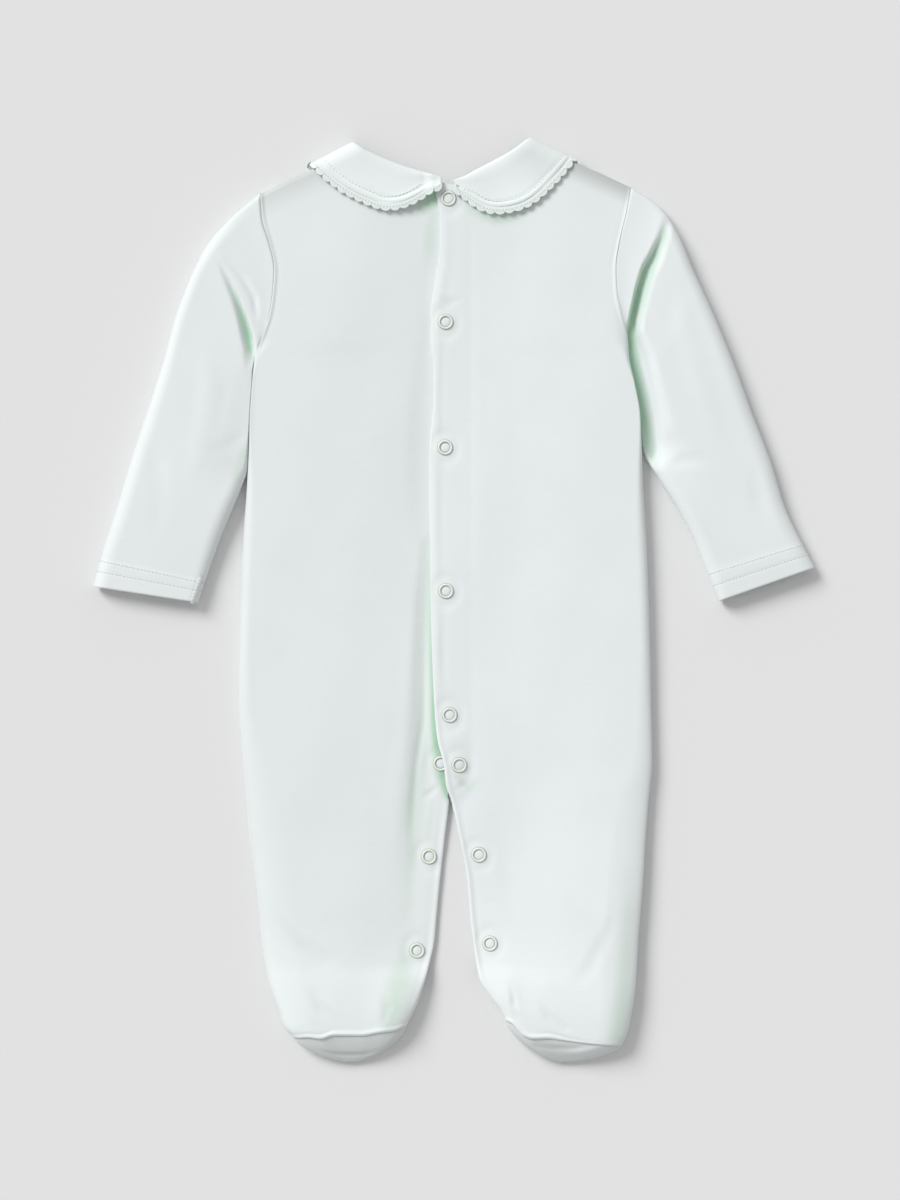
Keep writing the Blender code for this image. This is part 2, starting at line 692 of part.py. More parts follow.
def trim_grid(half):
    """Picot edging: a narrow strip whose outer edge is a row of scallops."""
    edge = collar_lines(half, np.linspace(0, 1, 400))[1]
    length = np.hypot(*np.diff(edge, axis=0).T).sum()
    scallops = round(length / PICOT_PITCH)
    rows = np.linspace(0, 1, 2 * scallops + 1)
    edge = collar_lines(half, rows)[1]
    toward_neck = inward(edge, half)
    wave = np.abs(np.sin(math.pi * scallops * rows))[:, None]
    outer = edge + toward_neck * PICOT_DEPTH * (1 - wave) * trim_width(rows) / TRIM_WIDTH
    inner = edge + toward_neck * (trim_width(rows) - TRIM_GAP)
    flat = np.stack([inner, outer], 1)
    return Fold(half).wrap(flat, COLLAR_REST)


# ---------------------------------------------------------------- soles

def sole_grid(half):
    """Rounded cap on the end of a leg, from its seams to a pole at the tip."""
    outer, inner = outer_edge(FOOT_ROW, half), inner_edge(FOOT_ROW, half)
    x = mix(outer, inner, spread(BACK_COLUMNS))
    heel = np.stack([x, read(HEEL_SEAM, "y", x) - SOLE_GAP, upper_height(x, FOOT_ROW, half)], -1)
    x = mix(inner, outer, spread(FRONT_COLUMNS))
    toe = np.stack([x, read(HEEL_SEAM, "y", x) + toe_rise(x, half) - SOLE_GAP,
                    lower_height(x, FOOT_ROW, half)], -1)
    ring = np.concatenate([heel, toe])
    tip_x = (heel[0, 0] + heel[-1, 0]) / 2
    tip_y, tip_z = SOLE_TIP
    radius = np.sin(np.linspace(math.pi / 2, SOLE_TIP_RING, SOLE_RINGS))[:, None]
    drop = 1 - (1 - radius ** SOLE_FULLNESS) ** (1 / SOLE_FULLNESS)
    rise = ring[:, 2] - tip_z
    x = tip_x + (ring[:, 0] - tip_x) * radius
    y = tip_y + (ring[:, 1] - tip_y) * drop
    z = tip_z + rise * np.where(rise < 0, radius ** SOLE_FLATNESS, radius)
    return np.stack([x, y, z], -1)


# ---------------------------------------------------------------- building

def material(name, colour, roughness, metallic=0.0):
    made = bpy.data.materials.new(name)
    made.use_nodes = True
    shader = made.node_tree.nodes["Principled BSDF"]
    shader.inputs["Base Color"].default_value = colour
    shader.inputs["Roughness"].default_value = roughness
    shader.inputs["Metallic"].default_value = metallic
    made.diffuse_color = colour
    return made


def add_faces(mesh, grid, ring=False, pole=False, flip=False):
    """Quads over a grid of points in millimetres; ring joins its last column."""
    rows, columns = grid.shape[:2]
    vertices = [[mesh.verts.new(Vector(p) * MM) for p in line] for line in grid]
    for i in range(rows - 1):
        for j in range(columns if ring else columns - 1):
            k = (j + 1) % columns
            corners = [vertices[i][j], vertices[i][k], vertices[i + 1][k], vertices[i + 1][j]]
            mesh.faces.new(corners if flip else corners[::-1])
    if pole:
        tip = mesh.verts.new(sum((v.co for v in vertices[-1]), Vector()) / columns)
        for j in range(columns):
            corners = [vertices[-1][j], vertices[-1][(j + 1) % columns], tip]
            mesh.faces.new(corners if flip else corners[::-1])


def panel(name, grids, look, thickness=WALL, **options):
    """A piece of cloth: its outer surface from grids, thickened inwards."""
    mesh = bmesh.new()
    for grid, flip in grids:
        add_faces(mesh, grid, flip=flip, **options)
    bmesh.ops.remove_doubles(mesh, verts=mesh.verts, dist=0.02 * MM)
    data = bpy.data.meshes.new(name)
    mesh.to_mesh(data)
    mesh.free()
    data.shade_smooth()
    made = place(name, data, look)
    shell = made.modifiers.new("Cloth", "SOLIDIFY")
    shell.thickness = thickness * MM
    shell.offset = -1
    return made


def place(name, data, look):
    made = bpy.data.objects.new(name, data)
    data.materials.append(look)
    sleepsuit.objects.link(made)
    return made


def snap_mesh():
    """Ring of a press snap, turned from its section."""
    data = bpy.data.meshes.new("snap_section")
    middle = (SNAP_OUTER + SNAP_INNER) / 2
    section = [(SNAP_OUTER, 0), (SNAP_INNER, 0), (SNAP_INNER + SNAP_SLOPE, SNAP_SHOULDER),
               (middle, SNAP_HEIGHT), (SNAP_OUTER - SNAP_SLOPE, SNAP_SHOULDER)]
    points = [(r * MM, 0, z * MM) for r, z in section]
    edges = [(i, (i + 1) % len(section)) for i in range(len(section))]
    data.from_pydata(points, edges, [])
    guide = bpy.data.objects.new("snap_guide", data)
    sleepsuit.objects.link(guide)
    turn = guide.modifiers.new("Turn", "SCREW")
    turn.steps = turn.render_steps = SNAP_SIDES
    turn.use_merge_vertices = True
    turn.merge_threshold = 0.0001
    turn.use_normal_calculate = True
    turned = guide.evaluated_get(bpy.context.evaluated_depsgraph_get())
    ring = bpy.data.meshes.new_from_object(turned)
    bpy.data.objects.remove(guide)
    mesh = bmesh.new()
    mesh.from_mesh(ring)
    bmesh.ops.recalc_face_normals(mesh, faces=mesh.faces)
    mesh.to_mesh(ring)
    mesh.free()
    ring.shade_smooth()
    return ring


def add_snap(name, ring, x, y, half):
    """A ring seated on a back half, tilted to its cloth."""
    turn = np.linspace(0, 2 * math.pi, SNAP_SIDES, endpoint=False)
    dx, dy = SNAP_OUTER * np.cos(turn), SNAP_OUTER * np.sin(turn)
    under = upper_height(x + dx, y + dy, half)
    slope_x = 2 * np.mean(under * dx) / SNAP_OUTER ** 2
    slope_y = 2 * np.mean(under * dy) / SNAP_OUTER ** 2
    seat = np.max(under - slope_x * dx - slope_y * dy) + SEAM
    made = place(name, ring.copy(), snap_paint)
    made.rotation_euler = Vector((-slope_x, -slope_y, 1)).to_track_quat("Z", "Y").to_euler()
    made.location = Vector((x, y, seat)) * MM


for old in list(bpy.data.objects):
    bpy.data.objects.remove(old)
sleepsuit = bpy.data.collections.new("Footed sleepsuit")
bpy.context.scene.collection.children.link(sleepsuit)
jersey = material("Cotton jersey", CLOTH, 0.9)
edging = material("Picot edging", EDGING, 0.9)
snap_paint = material("Snap paint", SNAP_PAINT, 0.4)

panel("front_panel", [(front_grid(LEFT), True), (front_grid(RIGHT), False)], jersey)
for half, side in ((LEFT, "left"), (RIGHT, "right")):
    turned = half == RIGHT
    panel("back_" + side, [(back_grid(half), turned)], jersey)
    panel("sleeve_" + side, [(sleeve_grid(half), turned)], jersey, ring=True)
    panel("collar_" + side, [(collar_grid(half), turned)], jersey)
    panel("trim_" + side, [(trim_grid(half), turned)], edging)
    panel("sole_" + side, [(sole_grid(half), turned)], jersey, ring=True, pole=True)

snap_ring = snap_mesh()
for number, (x, y) in enumerate(pairs(BACK_SNAPS), 1):
    add_snap(f"snap_back_{number}", snap_ring, x, y, RIGHT)
for half, side in ((LEFT, "left"), (RIGHT, "right")):
    for number, (x, y) in enumerate(pairs(LEG_SNAPS[half]), 1):
        add_snap(f"snap_leg_{side}_{number}", snap_ring, x, y, half)
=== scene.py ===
"""Looks of a footed baby sleepsuit, laid flat on its front with its back up.

X runs across the back, +Y from the feet to the neck and +Z up from the surface. Tables
and sizes are in millimetres until a mesh is made. Left and right are as seen from above,
so left is -X.
"""

import math

import bmesh
import bpy
import numpy as np
from mathutils import Matrix, Vector
from mathutils.bvhtree import BVHTree


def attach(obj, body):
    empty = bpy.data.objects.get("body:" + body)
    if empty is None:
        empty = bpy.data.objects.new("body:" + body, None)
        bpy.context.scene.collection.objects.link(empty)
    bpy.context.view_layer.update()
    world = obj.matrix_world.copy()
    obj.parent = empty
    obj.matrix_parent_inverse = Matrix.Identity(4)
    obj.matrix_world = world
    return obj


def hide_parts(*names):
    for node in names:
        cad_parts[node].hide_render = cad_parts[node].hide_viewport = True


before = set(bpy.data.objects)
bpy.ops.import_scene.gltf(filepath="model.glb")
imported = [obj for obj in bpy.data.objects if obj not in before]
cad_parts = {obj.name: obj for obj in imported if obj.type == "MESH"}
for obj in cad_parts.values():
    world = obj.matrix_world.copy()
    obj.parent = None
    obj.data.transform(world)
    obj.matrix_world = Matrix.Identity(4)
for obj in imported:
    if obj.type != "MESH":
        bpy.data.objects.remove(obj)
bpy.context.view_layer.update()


# ================================================================ Front
# The front is one piece of cotton jersey, cut with the fronts of both legs and sewn to
# the back along the shoulders and sides. Here it lies underneath, flat on the surface,
# with a few shallow creases where the cloth lifts off it.

MM = 0.001
LEFT = -1
RIGHT = 1
HALVES = ((LEFT, "left"), (RIGHT, "right"))

WALL = 1.2                # thickness of one layer of cotton jersey
SEAM = 0.3                # gap between pieces at a seam or where one lies on another
LAP = WALL + SEAM         # rise of a piece that lies on another

CROTCH_Y = -120.0
NECK_ROW = 246.0          # nominal row that is bent to the shoulder and neck lines
BEND_ROW = 150.0          # row below which the neck bend has died out
FOOT_ROW = -262.0         # nominal row that is bent to the seam of the sole
ANKLE_ROW = -205.0        # row above which that bend has died out
SHOULDER_ROLL = 3.5       # depth of the rolled fold along the shoulders
UNDER_ROLL = 0.6          # rolls of the lower layer, as a share of the upper layer's
SEAM_LIP = 1.0            # height over which the edges at a side seam stand upright
ARMHOLE_END = 140.0       # row just below both underarms
UNDERARM_Y = {LEFT: 146.7, RIGHT: 162.0}
NECK_LEFT = -62.0         # where the shoulder lines meet the neckline
NECK_RIGHT = 45.3
NECK_BLEND = 4.0
PLACKET_WIDTH = 13.0      # flat strip beside the placket's middle line
LEG_PLACKET_WIDTH = 4.0   # and beside the legs' open edges
LEG_EVENNESS = 0.9        # the legs rise evenly from that strip, the torso quickly at first
LEG_SMOOTHNESS = 0.25     # and turn gently into that rise and out of it
EVEN_ROWS = (-170.0, -60.0)
STRIP_ROWS = (-145.0, -95.0)    # the strip changes from one width to the other
LAP_ACROSS = (3.5, 42.0)        # where the right half's rise over the left dies out
LAP_DOWN = (-190.0, -122.0)
SIDE_ROWS = (-12.0, 18.0)       # the side fold ends between these, from the underarm
SEWN_LEG_ROWS = (-245.0, -215.0)   # the inner leg is a fold below and open edges above
FRONT_INSET = 1.2         # the front's inner-leg edge lies this far inside the back's
INSET_ROWS = (-240.0, -220.0)
COLLAR_LIFT = LAP + 0.85  # height of the front's outer face over the surface, on the collar
COLLAR_OVAL = (-8.0, 268.0, 92.0, 86.0)   # centre and radii of what the collar lifts
OVAL_BLEND = (1.0, 1.16)  # the lift dies out between these multiples of the radii
TOE_RISE = 22.0           # the toe seam underneath lies this much further up the leg
FOLD_REACH = 1.7          # a fold dies out at this many of its half widths
WELD = 0.02               # points closer than this are one
FRONT_STEPS = {"fold": 6, "armhole": 44, "torso": 104, "leg": 36, "foot": 26}
FRONT_COLUMNS = 52


def table(text):
    """Named columns from a short table; the first words are the column names."""
    words = text.split()
    count = sum(1 for word in words if word[0].isalpha())
    values = np.array([float(word) for word in words[count:]]).reshape(-1, count)
    return dict(zip(words[:count], values.T))


def folds(text):
    """Lines of points: semicolons part the lines and commas the points of a line.

    Each point has its x, y, half width and depth, and on some lines how steep its left is.
    """
    names = ("x", "y", "half_width", "depth", "steep")
    return [dict(zip(names, np.array([point.split() for point in line.split(",")], float).T))
            for line in text.split(";")]


BODY = table("""
   y   left right inner_left inner_right crest middle roll
 246 -116.6   106         -3          -3   8.4    6.8   12
 230 -115.3   103         -3          -3   8.8    6.6   12
 214   -111  99.2         -3          -3   9.2    6.2   12
 198   -108  96.8         -3          -3   9.6    5.7   12
 184 -108.9  97.4         -3          -3   9.8    5.4   12
 170 -111.2 100.7         -3          -3    10    5.3   12
 158 -115.3 103.8         -3          -3  10.2    5.2   11
 146 -119.9 104.8         -3          -3  10.4    5.2    3
 130 -121.5 108.2         -3          -3  10.7    5.2  0.5
 112 -122.8 111.4         -3          -3  10.9    5.2  0.5
  70 -124.5 113.1         -3          -3    11    5.2    4
  34 -126.9 115.2         -3          -3    11    5.2    6
 -24 -128.7 117.2         -3          -3  11.2    5.2    6
 -60 -129.3 117.9         -3          -3  11.6      5    8
 -96 -126.9 118.5         -3          -3  12.4    4.2   12
-120   -125 116.4         -3          -3  13.4    3.2   18
-140 -123.5 114.8       -5.3         2.3  14.2    2.8   20
-168 -119.4 113.1       -8.5         7.6    15    2.8   21
-190   -117 111.3      -10.6         9.4  15.4    2.8   21
-205 -115.7 110.1        -12        11.2  15.4    2.9   21
-218 -113.6 109.4      -14.7        12.9  15.2      4   21
-232 -110.3 108.2      -17.7        15.3    15    8.5   20
-247   -105 105.4      -21.9        22.5  14.8   12.5   19
-255 -102.4 103.4      -25.4        27.6  14.6   13.6   18
-262    -96   100        -29          31  14.4     14   17
""")
# The upper edges of both layers, which are the same along the shoulders.
SHOULDERS = ("-115.5 244.5  -103 250.6  -90 256.4  -62 270.5",
             "45.3 273.2  59 268  74 262  90 255.2  106 247.8")
BACK_TOP = table(f"""
    x y  {SHOULDERS[0]}  -46 264  -29.4 257.6  -15 253.2  -7.5 250.6
    -1.5 249.6  10 253.8  22.5 260.4  37.2 268.6  {SHOULDERS[1]}""")
FRONT_TOP = table(f"""
    x y  {SHOULDERS[0]}  -57 255  -50 243.5  -38 232.5  -22 225  -8 222
    6 224.5  20 231.5  32 242.5  40 255  {SHOULDERS[1]}""")
HEEL_SEAM = table("""
    x y  -96 -262.3  -87 -261.4  -80 -262.1  -72 -260.2  -56 -260.4  -45 -258.7  -36 -257.6  -29 -255.2
    31 -252.2  34.5 -253.6  38 -257.4  41.5 -260.6  47 -262.3  56 -262  65 -263  81 -264.9  100 -266.8""")
SETTLED = {               # the cloth has settled to this share of the loft, most in the left leg
    LEFT: table("y share  160 1  60 0.75  -20 0.55  -80 0.45  -140 0.4  -190 0.44  -230 0.65  -262 0.85"),
    RIGHT: table("y share  160 1  60 0.85  -80 0.72  -190 0.78  -262 1"),
}

# Creases in the front, as lines of points with a half width and a depth at each. Seen from
# below they are shallow hollows, and the cloth touches the surface everywhere else.
FRONT_CREASES = {
    LEFT: folds("""
        -96 118 4 0, -84 96 6 0.8, -66 70 7 1.1, -52 52 5 0;
        -30 -104 4 0, -52 -92 6 0.9, -78 -86 6.5 1.2, -104 -90 4 0;
        -72 -128 3.5 0, -78 -160 5 1, -76 -196 5 0.7, -70 -214 3 0"""),
    RIGHT: folds("""
        88 138 4 0, 76 112 5.5 0.9, 70 76 6 1, 72 50 4 0;
        24 -98 4 0, 46 -88 6 1.1, 70 -86 5.5 0.7, 90 -92 4 0;
        62 -134 3.5 0, 70 -170 5.5 1.1, 66 -206 4 0"""),
}


def smooth_curve(at, keys, values, slopes):
    """Cubic curve through the values, flat beyond the first and last key."""
    at = np.clip(at, keys[0], keys[-1])
    i = np.clip(np.searchsorted(keys, at) - 1, 0, len(keys) - 2)
    step = keys[i + 1] - keys[i]
    t = (at - keys[i]) / step
    return ((1 + 2 * t) * (1 - t) ** 2 * values[i] + t * (1 - t) ** 2 * step * slopes[i]
            + t ** 2 * (3 - 2 * t) * values[i + 1] + t ** 2 * (t - 1) * step * slopes[i + 1])


def read(rows, column, at):
    """A column of a table as a smooth curve of its first column, without overshoot."""
    keys, values = next(iter(rows.values())), rows[column]
    if keys[0] > keys[-1]:
        keys, values = keys[::-1], values[::-1]
    steps = np.diff(keys)
    rises = np.diff(values) / steps
    slopes = np.concatenate([rises[:1], np.zeros(len(keys) - 2), rises[-1:]])
    before, after = rises[:-1], rises[1:]
    same = before * after > 0
    weight_before, weight_after = 2 * steps[1:] + steps[:-1], steps[1:] + 2 * steps[:-1]
    slopes[1:-1][same] = ((weight_before + weight_after)[same]
                          / (weight_before[same] / before[same] + weight_after[same] / after[same]))
    return smooth_curve(at, keys, values, slopes)


def ease(t):
    t = np.clip(t, 0, 1)
    return t * t * (3 - 2 * t)


def fade(value, ends):
    """Rises softly from 0 at the first of two ends to 1 at the second."""
    return ease((value - ends[0]) / (ends[1] - ends[0]))


def rounding(t):
    """Quarter circle that rises from 0 at t = 0 to 1 at t = 1."""
    return np.sqrt(1 - (1 - np.clip(t, 0, 1)) ** 2)


def mix(a, b, t):
    return a + (b - a) * t


def bell(distance, width):
    """Falls softly from 1 at no distance towards 0."""
    return np.exp(-(distance / width) ** 2)


def spread(count, crowding=0.6):
    """Shares from 0 to 1 that crowd towards both ends."""
    even = np.linspace(0, 1, count)
    return mix(even, (1 - np.cos(math.pi * even)) / 2, crowding)


def fold_depth(x, y, lines):
    """Depth at x, y of soft troughs along lines of points; a negative depth is a ridge.

    A line's steep column narrows the side that is on the left as one goes along it.
    """
    total = np.zeros(np.broadcast(x, y).shape)
    for line in lines:
        steep = line.get("steep", np.ones(len(line["x"])))
        deepest = np.zeros_like(total)
        for i in range(len(line["x"]) - 1):
            ax, ay = line["x"][i], line["y"][i]
            dx, dy = line["x"][i + 1] - ax, line["y"][i + 1] - ay
            along = np.clip(((x - ax) * dx + (y - ay) * dy) / (dx * dx + dy * dy), 0, 1)
            off = np.hypot(x - ax - along * dx, y - ay - along * dy)
            width = mix(line["half_width"][i], line["half_width"][i + 1], along)
            on_left = dx * (y - ay) > dy * (x - ax)
            width = width * np.where(on_left, mix(steep[i], steep[i + 1], along), 1)
            depth = mix(line["depth"][i], line["depth"][i + 1], along)
            here = depth * (1 - ease(off / (FOLD_REACH * width)))
            deepest = np.where(np.abs(here) > np.abs(deepest), here, deepest)
        total = total + deepest
    return total


def outer_edge(y, half):
    return read(BODY, "left" if half == LEFT else "right", y)


def inner_edge(y, half):
    return read(BODY, "inner_left" if half == LEFT else "inner_right", y)


def collar_lift(x, y):
    """Height of the front panel where it lies on the collar's front."""
    middle_x, middle_y, half_width, half_length = COLLAR_OVAL
    reach = np.hypot((x - middle_x) / half_width, (y - middle_y) / half_length)
    return COLLAR_LIFT * (1 - fade(reach, OVAL_BLEND))


def crown(x, y, half):
    """Height of the back before its edges are rounded down."""
    crest, middle, roll = (read(BODY, name, y) for name in ("crest", "middle", "roll"))
    outer, inner = outer_edge(y, half), inner_edge(y, half)
    strip = mix(LEG_PLACKET_WIDTH, PLACKET_WIDTH, fade(y, STRIP_ROWS))
    from_inner = (x - inner) * half
    share = np.clip((from_inner - strip) / (np.abs(outer - inner) - roll - strip), 0, 1)
    quick = 1 - (1 - share) ** 2
    even = share - LEG_SMOOTHNESS * np.sin(2 * math.pi * share) / (2 * math.pi)
    rise = mix(quick, even, LEG_EVENNESS * (1 - fade(y, EVEN_ROWS)))
    height = middle + (crest - middle) * read(SETTLED[half], "share", y) * rise
    if half == RIGHT:
        height = height + LAP * (1 - fade(x, LAP_ACROSS)) * fade(y, LAP_DOWN)
    return height


def rounding_down(x, y, half, narrow=1.0):
    """Share of the full height left near the side, shoulder and foot folds."""
    roll = read(BODY, "roll", y) * narrow
    side = rounding((outer_edge(y, half) - x) * half / roll)
    closed = 1 - fade(y - UNDERARM_Y[half], SIDE_ROWS)
    leg = rounding((x - inner_edge(y, half)) * half / roll)
    sewn_leg = 1 - fade(y, SEWN_LEG_ROWS)
    below = read(BACK_TOP, "y", x) - y
    top = rounding(below / (SHOULDER_ROLL * narrow))
    left = 1 - fade(x - NECK_LEFT, (-NECK_BLEND, NECK_BLEND))
    right = fade(x - NECK_RIGHT, (-NECK_BLEND, NECK_BLEND))
    return mix(1, side, closed) * mix(1, leg, sewn_leg) * mix(1, top, np.maximum(left, right))


def lower_height(x, y, half):
    """Outer height of the front, which faces the surface."""
    full, base = crown(x, y, half), collar_lift(x, y)
    share = rounding_down(x, y, half, UNDER_ROLL)
    return (full + base) / 2 - mix(SEAM_LIP, (full - base) / 2, share)


def with_lips(x, y, z, share, towards, painted_shade=0.0):
    """Turn the edges that a seam closes upright for a short way, so they meet squarely.

    share is rounding_down() and towards the direction of the other layer in z.
    """
    x, y, z, share, painted_shade = (np.pad(values, ((1, 0), (1, 1)), mode="edge")
                              for values in (x, y, z, share, painted_shade + np.zeros(z.shape)))
    lip = (SEAM_LIP - SEAM / 2) * (1 - share) * towards
    border = np.ones(z.shape, dtype=bool)
    border[1:, 1:-1] = False
    return np.stack([x, y, z + np.where(border, lip, 0), painted_shade], -1)


def bent(x, row, top, rise=0.0):
    """Real y of a nominal row, bent to the upper edge and to the sole's seam."""
    up = (read(top, "y", x) - NECK_ROW) * fade(row, (BEND_ROW, NECK_ROW))
    down = (read(HEEL_SEAM, "y", x) + rise - FOOT_ROW) * fade(row, (ANKLE_ROW, FOOT_ROW))
    return row + up + down


def body_rows(fold, armhole, torso, leg, foot):
    """Nominal rows from the neck to the feet, crowded at the shoulder fold and the seam."""
    turn = np.linspace(0, math.pi / 2, fold + 1)
    rows = [NECK_ROW - SHOULDER_ROLL * (1 - np.cos(turn))]
    start = NECK_ROW - SHOULDER_ROLL
    for end, steps in ((ARMHOLE_END, armhole), (CROTCH_Y, torso), (ANKLE_ROW, leg)):
        rows.append(np.linspace(start, end, steps + 1)[1:])
        start = end
    last = np.sin(np.linspace(0, math.pi / 2, foot + 1)[1:])
    rows.append(mix(ANKLE_ROW, FOOT_ROW, (last + np.linspace(0, 1, foot + 1)[1:]) / 2))
    return np.concatenate(rows)[:, None]


def toe_rise(x, half):
    """How far the toe seam lies above the heel seam across the foot."""
    outer, inner = outer_edge(FOOT_ROW, half), inner_edge(FOOT_ROW, half)
    return TOE_RISE * np.sin(math.pi * np.clip((x - outer) / (inner - outer), 0, 1))


def front_grid(half):
    row = body_rows(**FRONT_STEPS)
    inset = FRONT_INSET * fade(row, INSET_ROWS) * (row < CROTCH_Y)
    x = mix(outer_edge(row, half), inner_edge(row, half) + inset * half,
            spread(FRONT_COLUMNS)[None, :])
    y = bent(x, row, FRONT_TOP, toe_rise(x, half))
    level = np.where(row < CROTCH_Y, row, y)
    share = rounding_down(x, level, half, UNDER_ROLL)
    z = lower_height(x, level, half) + fold_depth(x, level, FRONT_CREASES[half]) * share
    return with_lips(x, y, z, share, 1)


class Signal:
    """A socket of a tree of nodes; arithmetic on it adds Math nodes."""

    def __init__(self, nodes, socket):
        self.nodes = nodes
        self.socket = socket

    def math(self, operation, *others):
        values = {i + 1: other for i, other in enumerate(others)}
        return self.nodes.node("ShaderNodeMath", {"operation": operation}, {0: self, **values})

    def __add__(self, other):
        return self.math("ADD", other)

    def __sub__(self, other):
        return self.math("SUBTRACT", other)

    def __mul__(self, other):
        return self.math("MULTIPLY", other)

    def __truediv__(self, other):
        return self.math("DIVIDE", other)

    def __rsub__(self, other):
        return (self * -1.0) + other


class Nodes:
    """A tree of nodes, to which node() adds."""

    def __init__(self, tree):
        self.tree = tree

    def node(self, kind, settings=None, inputs=None, output=0):
        """Any node: its settings come first, then its sockets' values or links."""
        made = self.tree.nodes.new(kind)
        for name, value in (settings or {}).items():
            setattr(made, name, value)
        for socket, value in (inputs or {}).items():
            if isinstance(value, Signal):
                self.tree.links.new(value.socket, made.inputs[socket])
            else:
                made.inputs[socket].default_value = value
        return Signal(self, made.outputs[output]) if made.outputs else None


class Finish(Nodes):
    """A material: its shader's constants are set here, and nodes add what varies."""

    def __init__(self, name, **constants):
        self.material = bpy.data.materials.new(name)
        self.material.use_nodes = True
        super().__init__(self.material.node_tree)
        self.shader = self.tree.nodes["Principled BSDF"]
        for socket, value in constants.items():
            self.shader.inputs[socket.replace("_", " ")].default_value = value

    def blend(self, a, b, factor):
        """Colour between two colours."""
        return self.node("ShaderNodeMix", {"data_type": "RGBA"}, {0: factor, 6: a, 7: b}, 2)

    def noise(self, place, scale, detail=2.0, roughness=0.5):
        return self.node("ShaderNodeTexNoise", inputs={
            "Vector": place, "Scale": scale, "Detail": detail, "Roughness": roughness})

    def stretched(self, place, scales):
        return self.node("ShaderNodeVectorMath", {"operation": "MULTIPLY"}, {0: place, 1: scales})

    # painted shade that a piece carries on its points
    def painted_shade(self):
        return self.node("ShaderNodeAttribute", {"attribute_name": SHADE_ATTRIBUTE}, output=2)

    def object_place(self):
        return self.node("ShaderNodeTexCoord", output=3)

    def feed(self, socket, value):
        self.tree.links.new(value.socket, self.shader.inputs[socket])

    def relief(self, height, depth):
        """Bump from a height of 0 to 1 that stands for a depth in metres."""
        self.feed("Normal", self.node("ShaderNodeBump", inputs={
            "Strength": 1.0, "Distance": depth, "Height": height}))


KNIT_MAP = "Knit"         # a piece's own map in millimetres, across and along its wales
WALE = 0.82               # width of one column of stitches
COURSE = 0.66             # height of one row of stitches
STITCH_LEAN = 0.5         # rise of a stitch's legs, as a share of a course
STITCH_DEPTH = 0.00005    # in metres
COURSE_RELIEF = (0.25, 0.40)      # share of a stitch's own wave and of its column
STREAKS = (0.11, 1.3, 1.0)        # faint streaks along the wales, for each millimetre
MOTTLING = (0.035, 0.035, 1.0)    # wide soft patches
FUZZ = (2.3, 2.3, 1.0)
KNIT_TONE = (0.55, 0.75, 0.15)    # shares of streaks and mottling in the tone, less this
SOFT_RELIEF = (0.7, 0.4)          # shares of streaks and fuzz in the relief
CLOTH_PALE = (0.818, 0.848, 0.852, 1.0)
CLOTH_DEEP = (0.762, 0.808, 0.808, 1.0)
CLOTH_PAINTED_SHADE = (0.420, 0.640, 0.470, 1.0)   # painted shade: cloth that is lit by other cloth only
CLOTH_TURNED = (0.500, 0.530, 0.510, 1.0)   # cloth that turns down and away from the light
SHADE_ATTRIBUTE = "painted_shade"         # painted shade on a piece's points: the share of the first, or below 0 of the second


def knit_finish(name, pale, deep):
    """Matt cotton jersey: columns of small V stitches, faint streaks, mottling and painted shade."""
    finish = Finish(name, Roughness=0.9, Sheen_Weight=0.04, Sheen_Roughness=0.5,
                    Specular_IOR_Level=0.25)
    place = finish.node("ShaderNodeUVMap", {"uv_map": KNIT_MAP})
    across, along = (finish.node("ShaderNodeSeparateXYZ", inputs={0: place}, output=axis)
                     for axis in (0, 1))
    wale = (across / WALE).math("FRACT") - 0.5
    lean = wale.math("ABSOLUTE") * (2.0 * STITCH_LEAN)
    course = ((along / COURSE + lean) * (2.0 * math.pi)).math("SINE")
    column = 1.0 - (wale * 2.0).math("ABSOLUTE").math("POWER", 3.0)
    streaks = finish.noise(finish.stretched(place, STREAKS), 1.0)
    mottling = finish.noise(finish.stretched(place, MOTTLING), 1.0, 3.0)
    shade = streaks * KNIT_TONE[0] + mottling * KNIT_TONE[1] - KNIT_TONE[2]
    # Painted shade: grey where the cloth turns from the light (below 0), green where only other cloth
    # lights it.
    painted_shade = finish.painted_shade()
    turned = finish.blend(finish.blend(pale, deep, shade), CLOTH_TURNED, painted_shade * -1.0)
    finish.feed("Base Color", finish.blend(turned, CLOTH_PAINTED_SHADE, painted_shade))
    fuzz = finish.noise(finish.stretched(place, FUZZ), 1.0)
    stitches = column * (course * COURSE_RELIEF[0] + COURSE_RELIEF[1])
    finish.relief(stitches + streaks * SOFT_RELIEF[0] + fuzz * SOFT_RELIEF[1], STITCH_DEPTH)
    return finish.material


def knit_map(grid, ring=False):
    """Distances across and along a grid of points, in millimetres."""
    grid = grid[..., :3]
    closed = np.concatenate([grid, grid[:, :1]], axis=1) if ring else grid
    across = np.cumsum(np.linalg.norm(np.diff(closed, axis=1), axis=2), axis=1)
    across = np.pad(across, ((0, 0), (1, 0)))
    across = across - across[:, closed.shape[1] // 2][:, None]
    along = np.linalg.norm(np.diff(closed, axis=0), axis=2).mean(1)
    along = np.pad(np.cumsum(along), (1, 0))[:, None]
    return np.stack(np.broadcast_arrays(across, along), -1)


def mesh_data(name, mesh):
    """Mesh data from a bmesh, which is freed."""
    data = bpy.data.meshes.new(name)
    mesh.to_mesh(data)
    mesh.free()
    return data


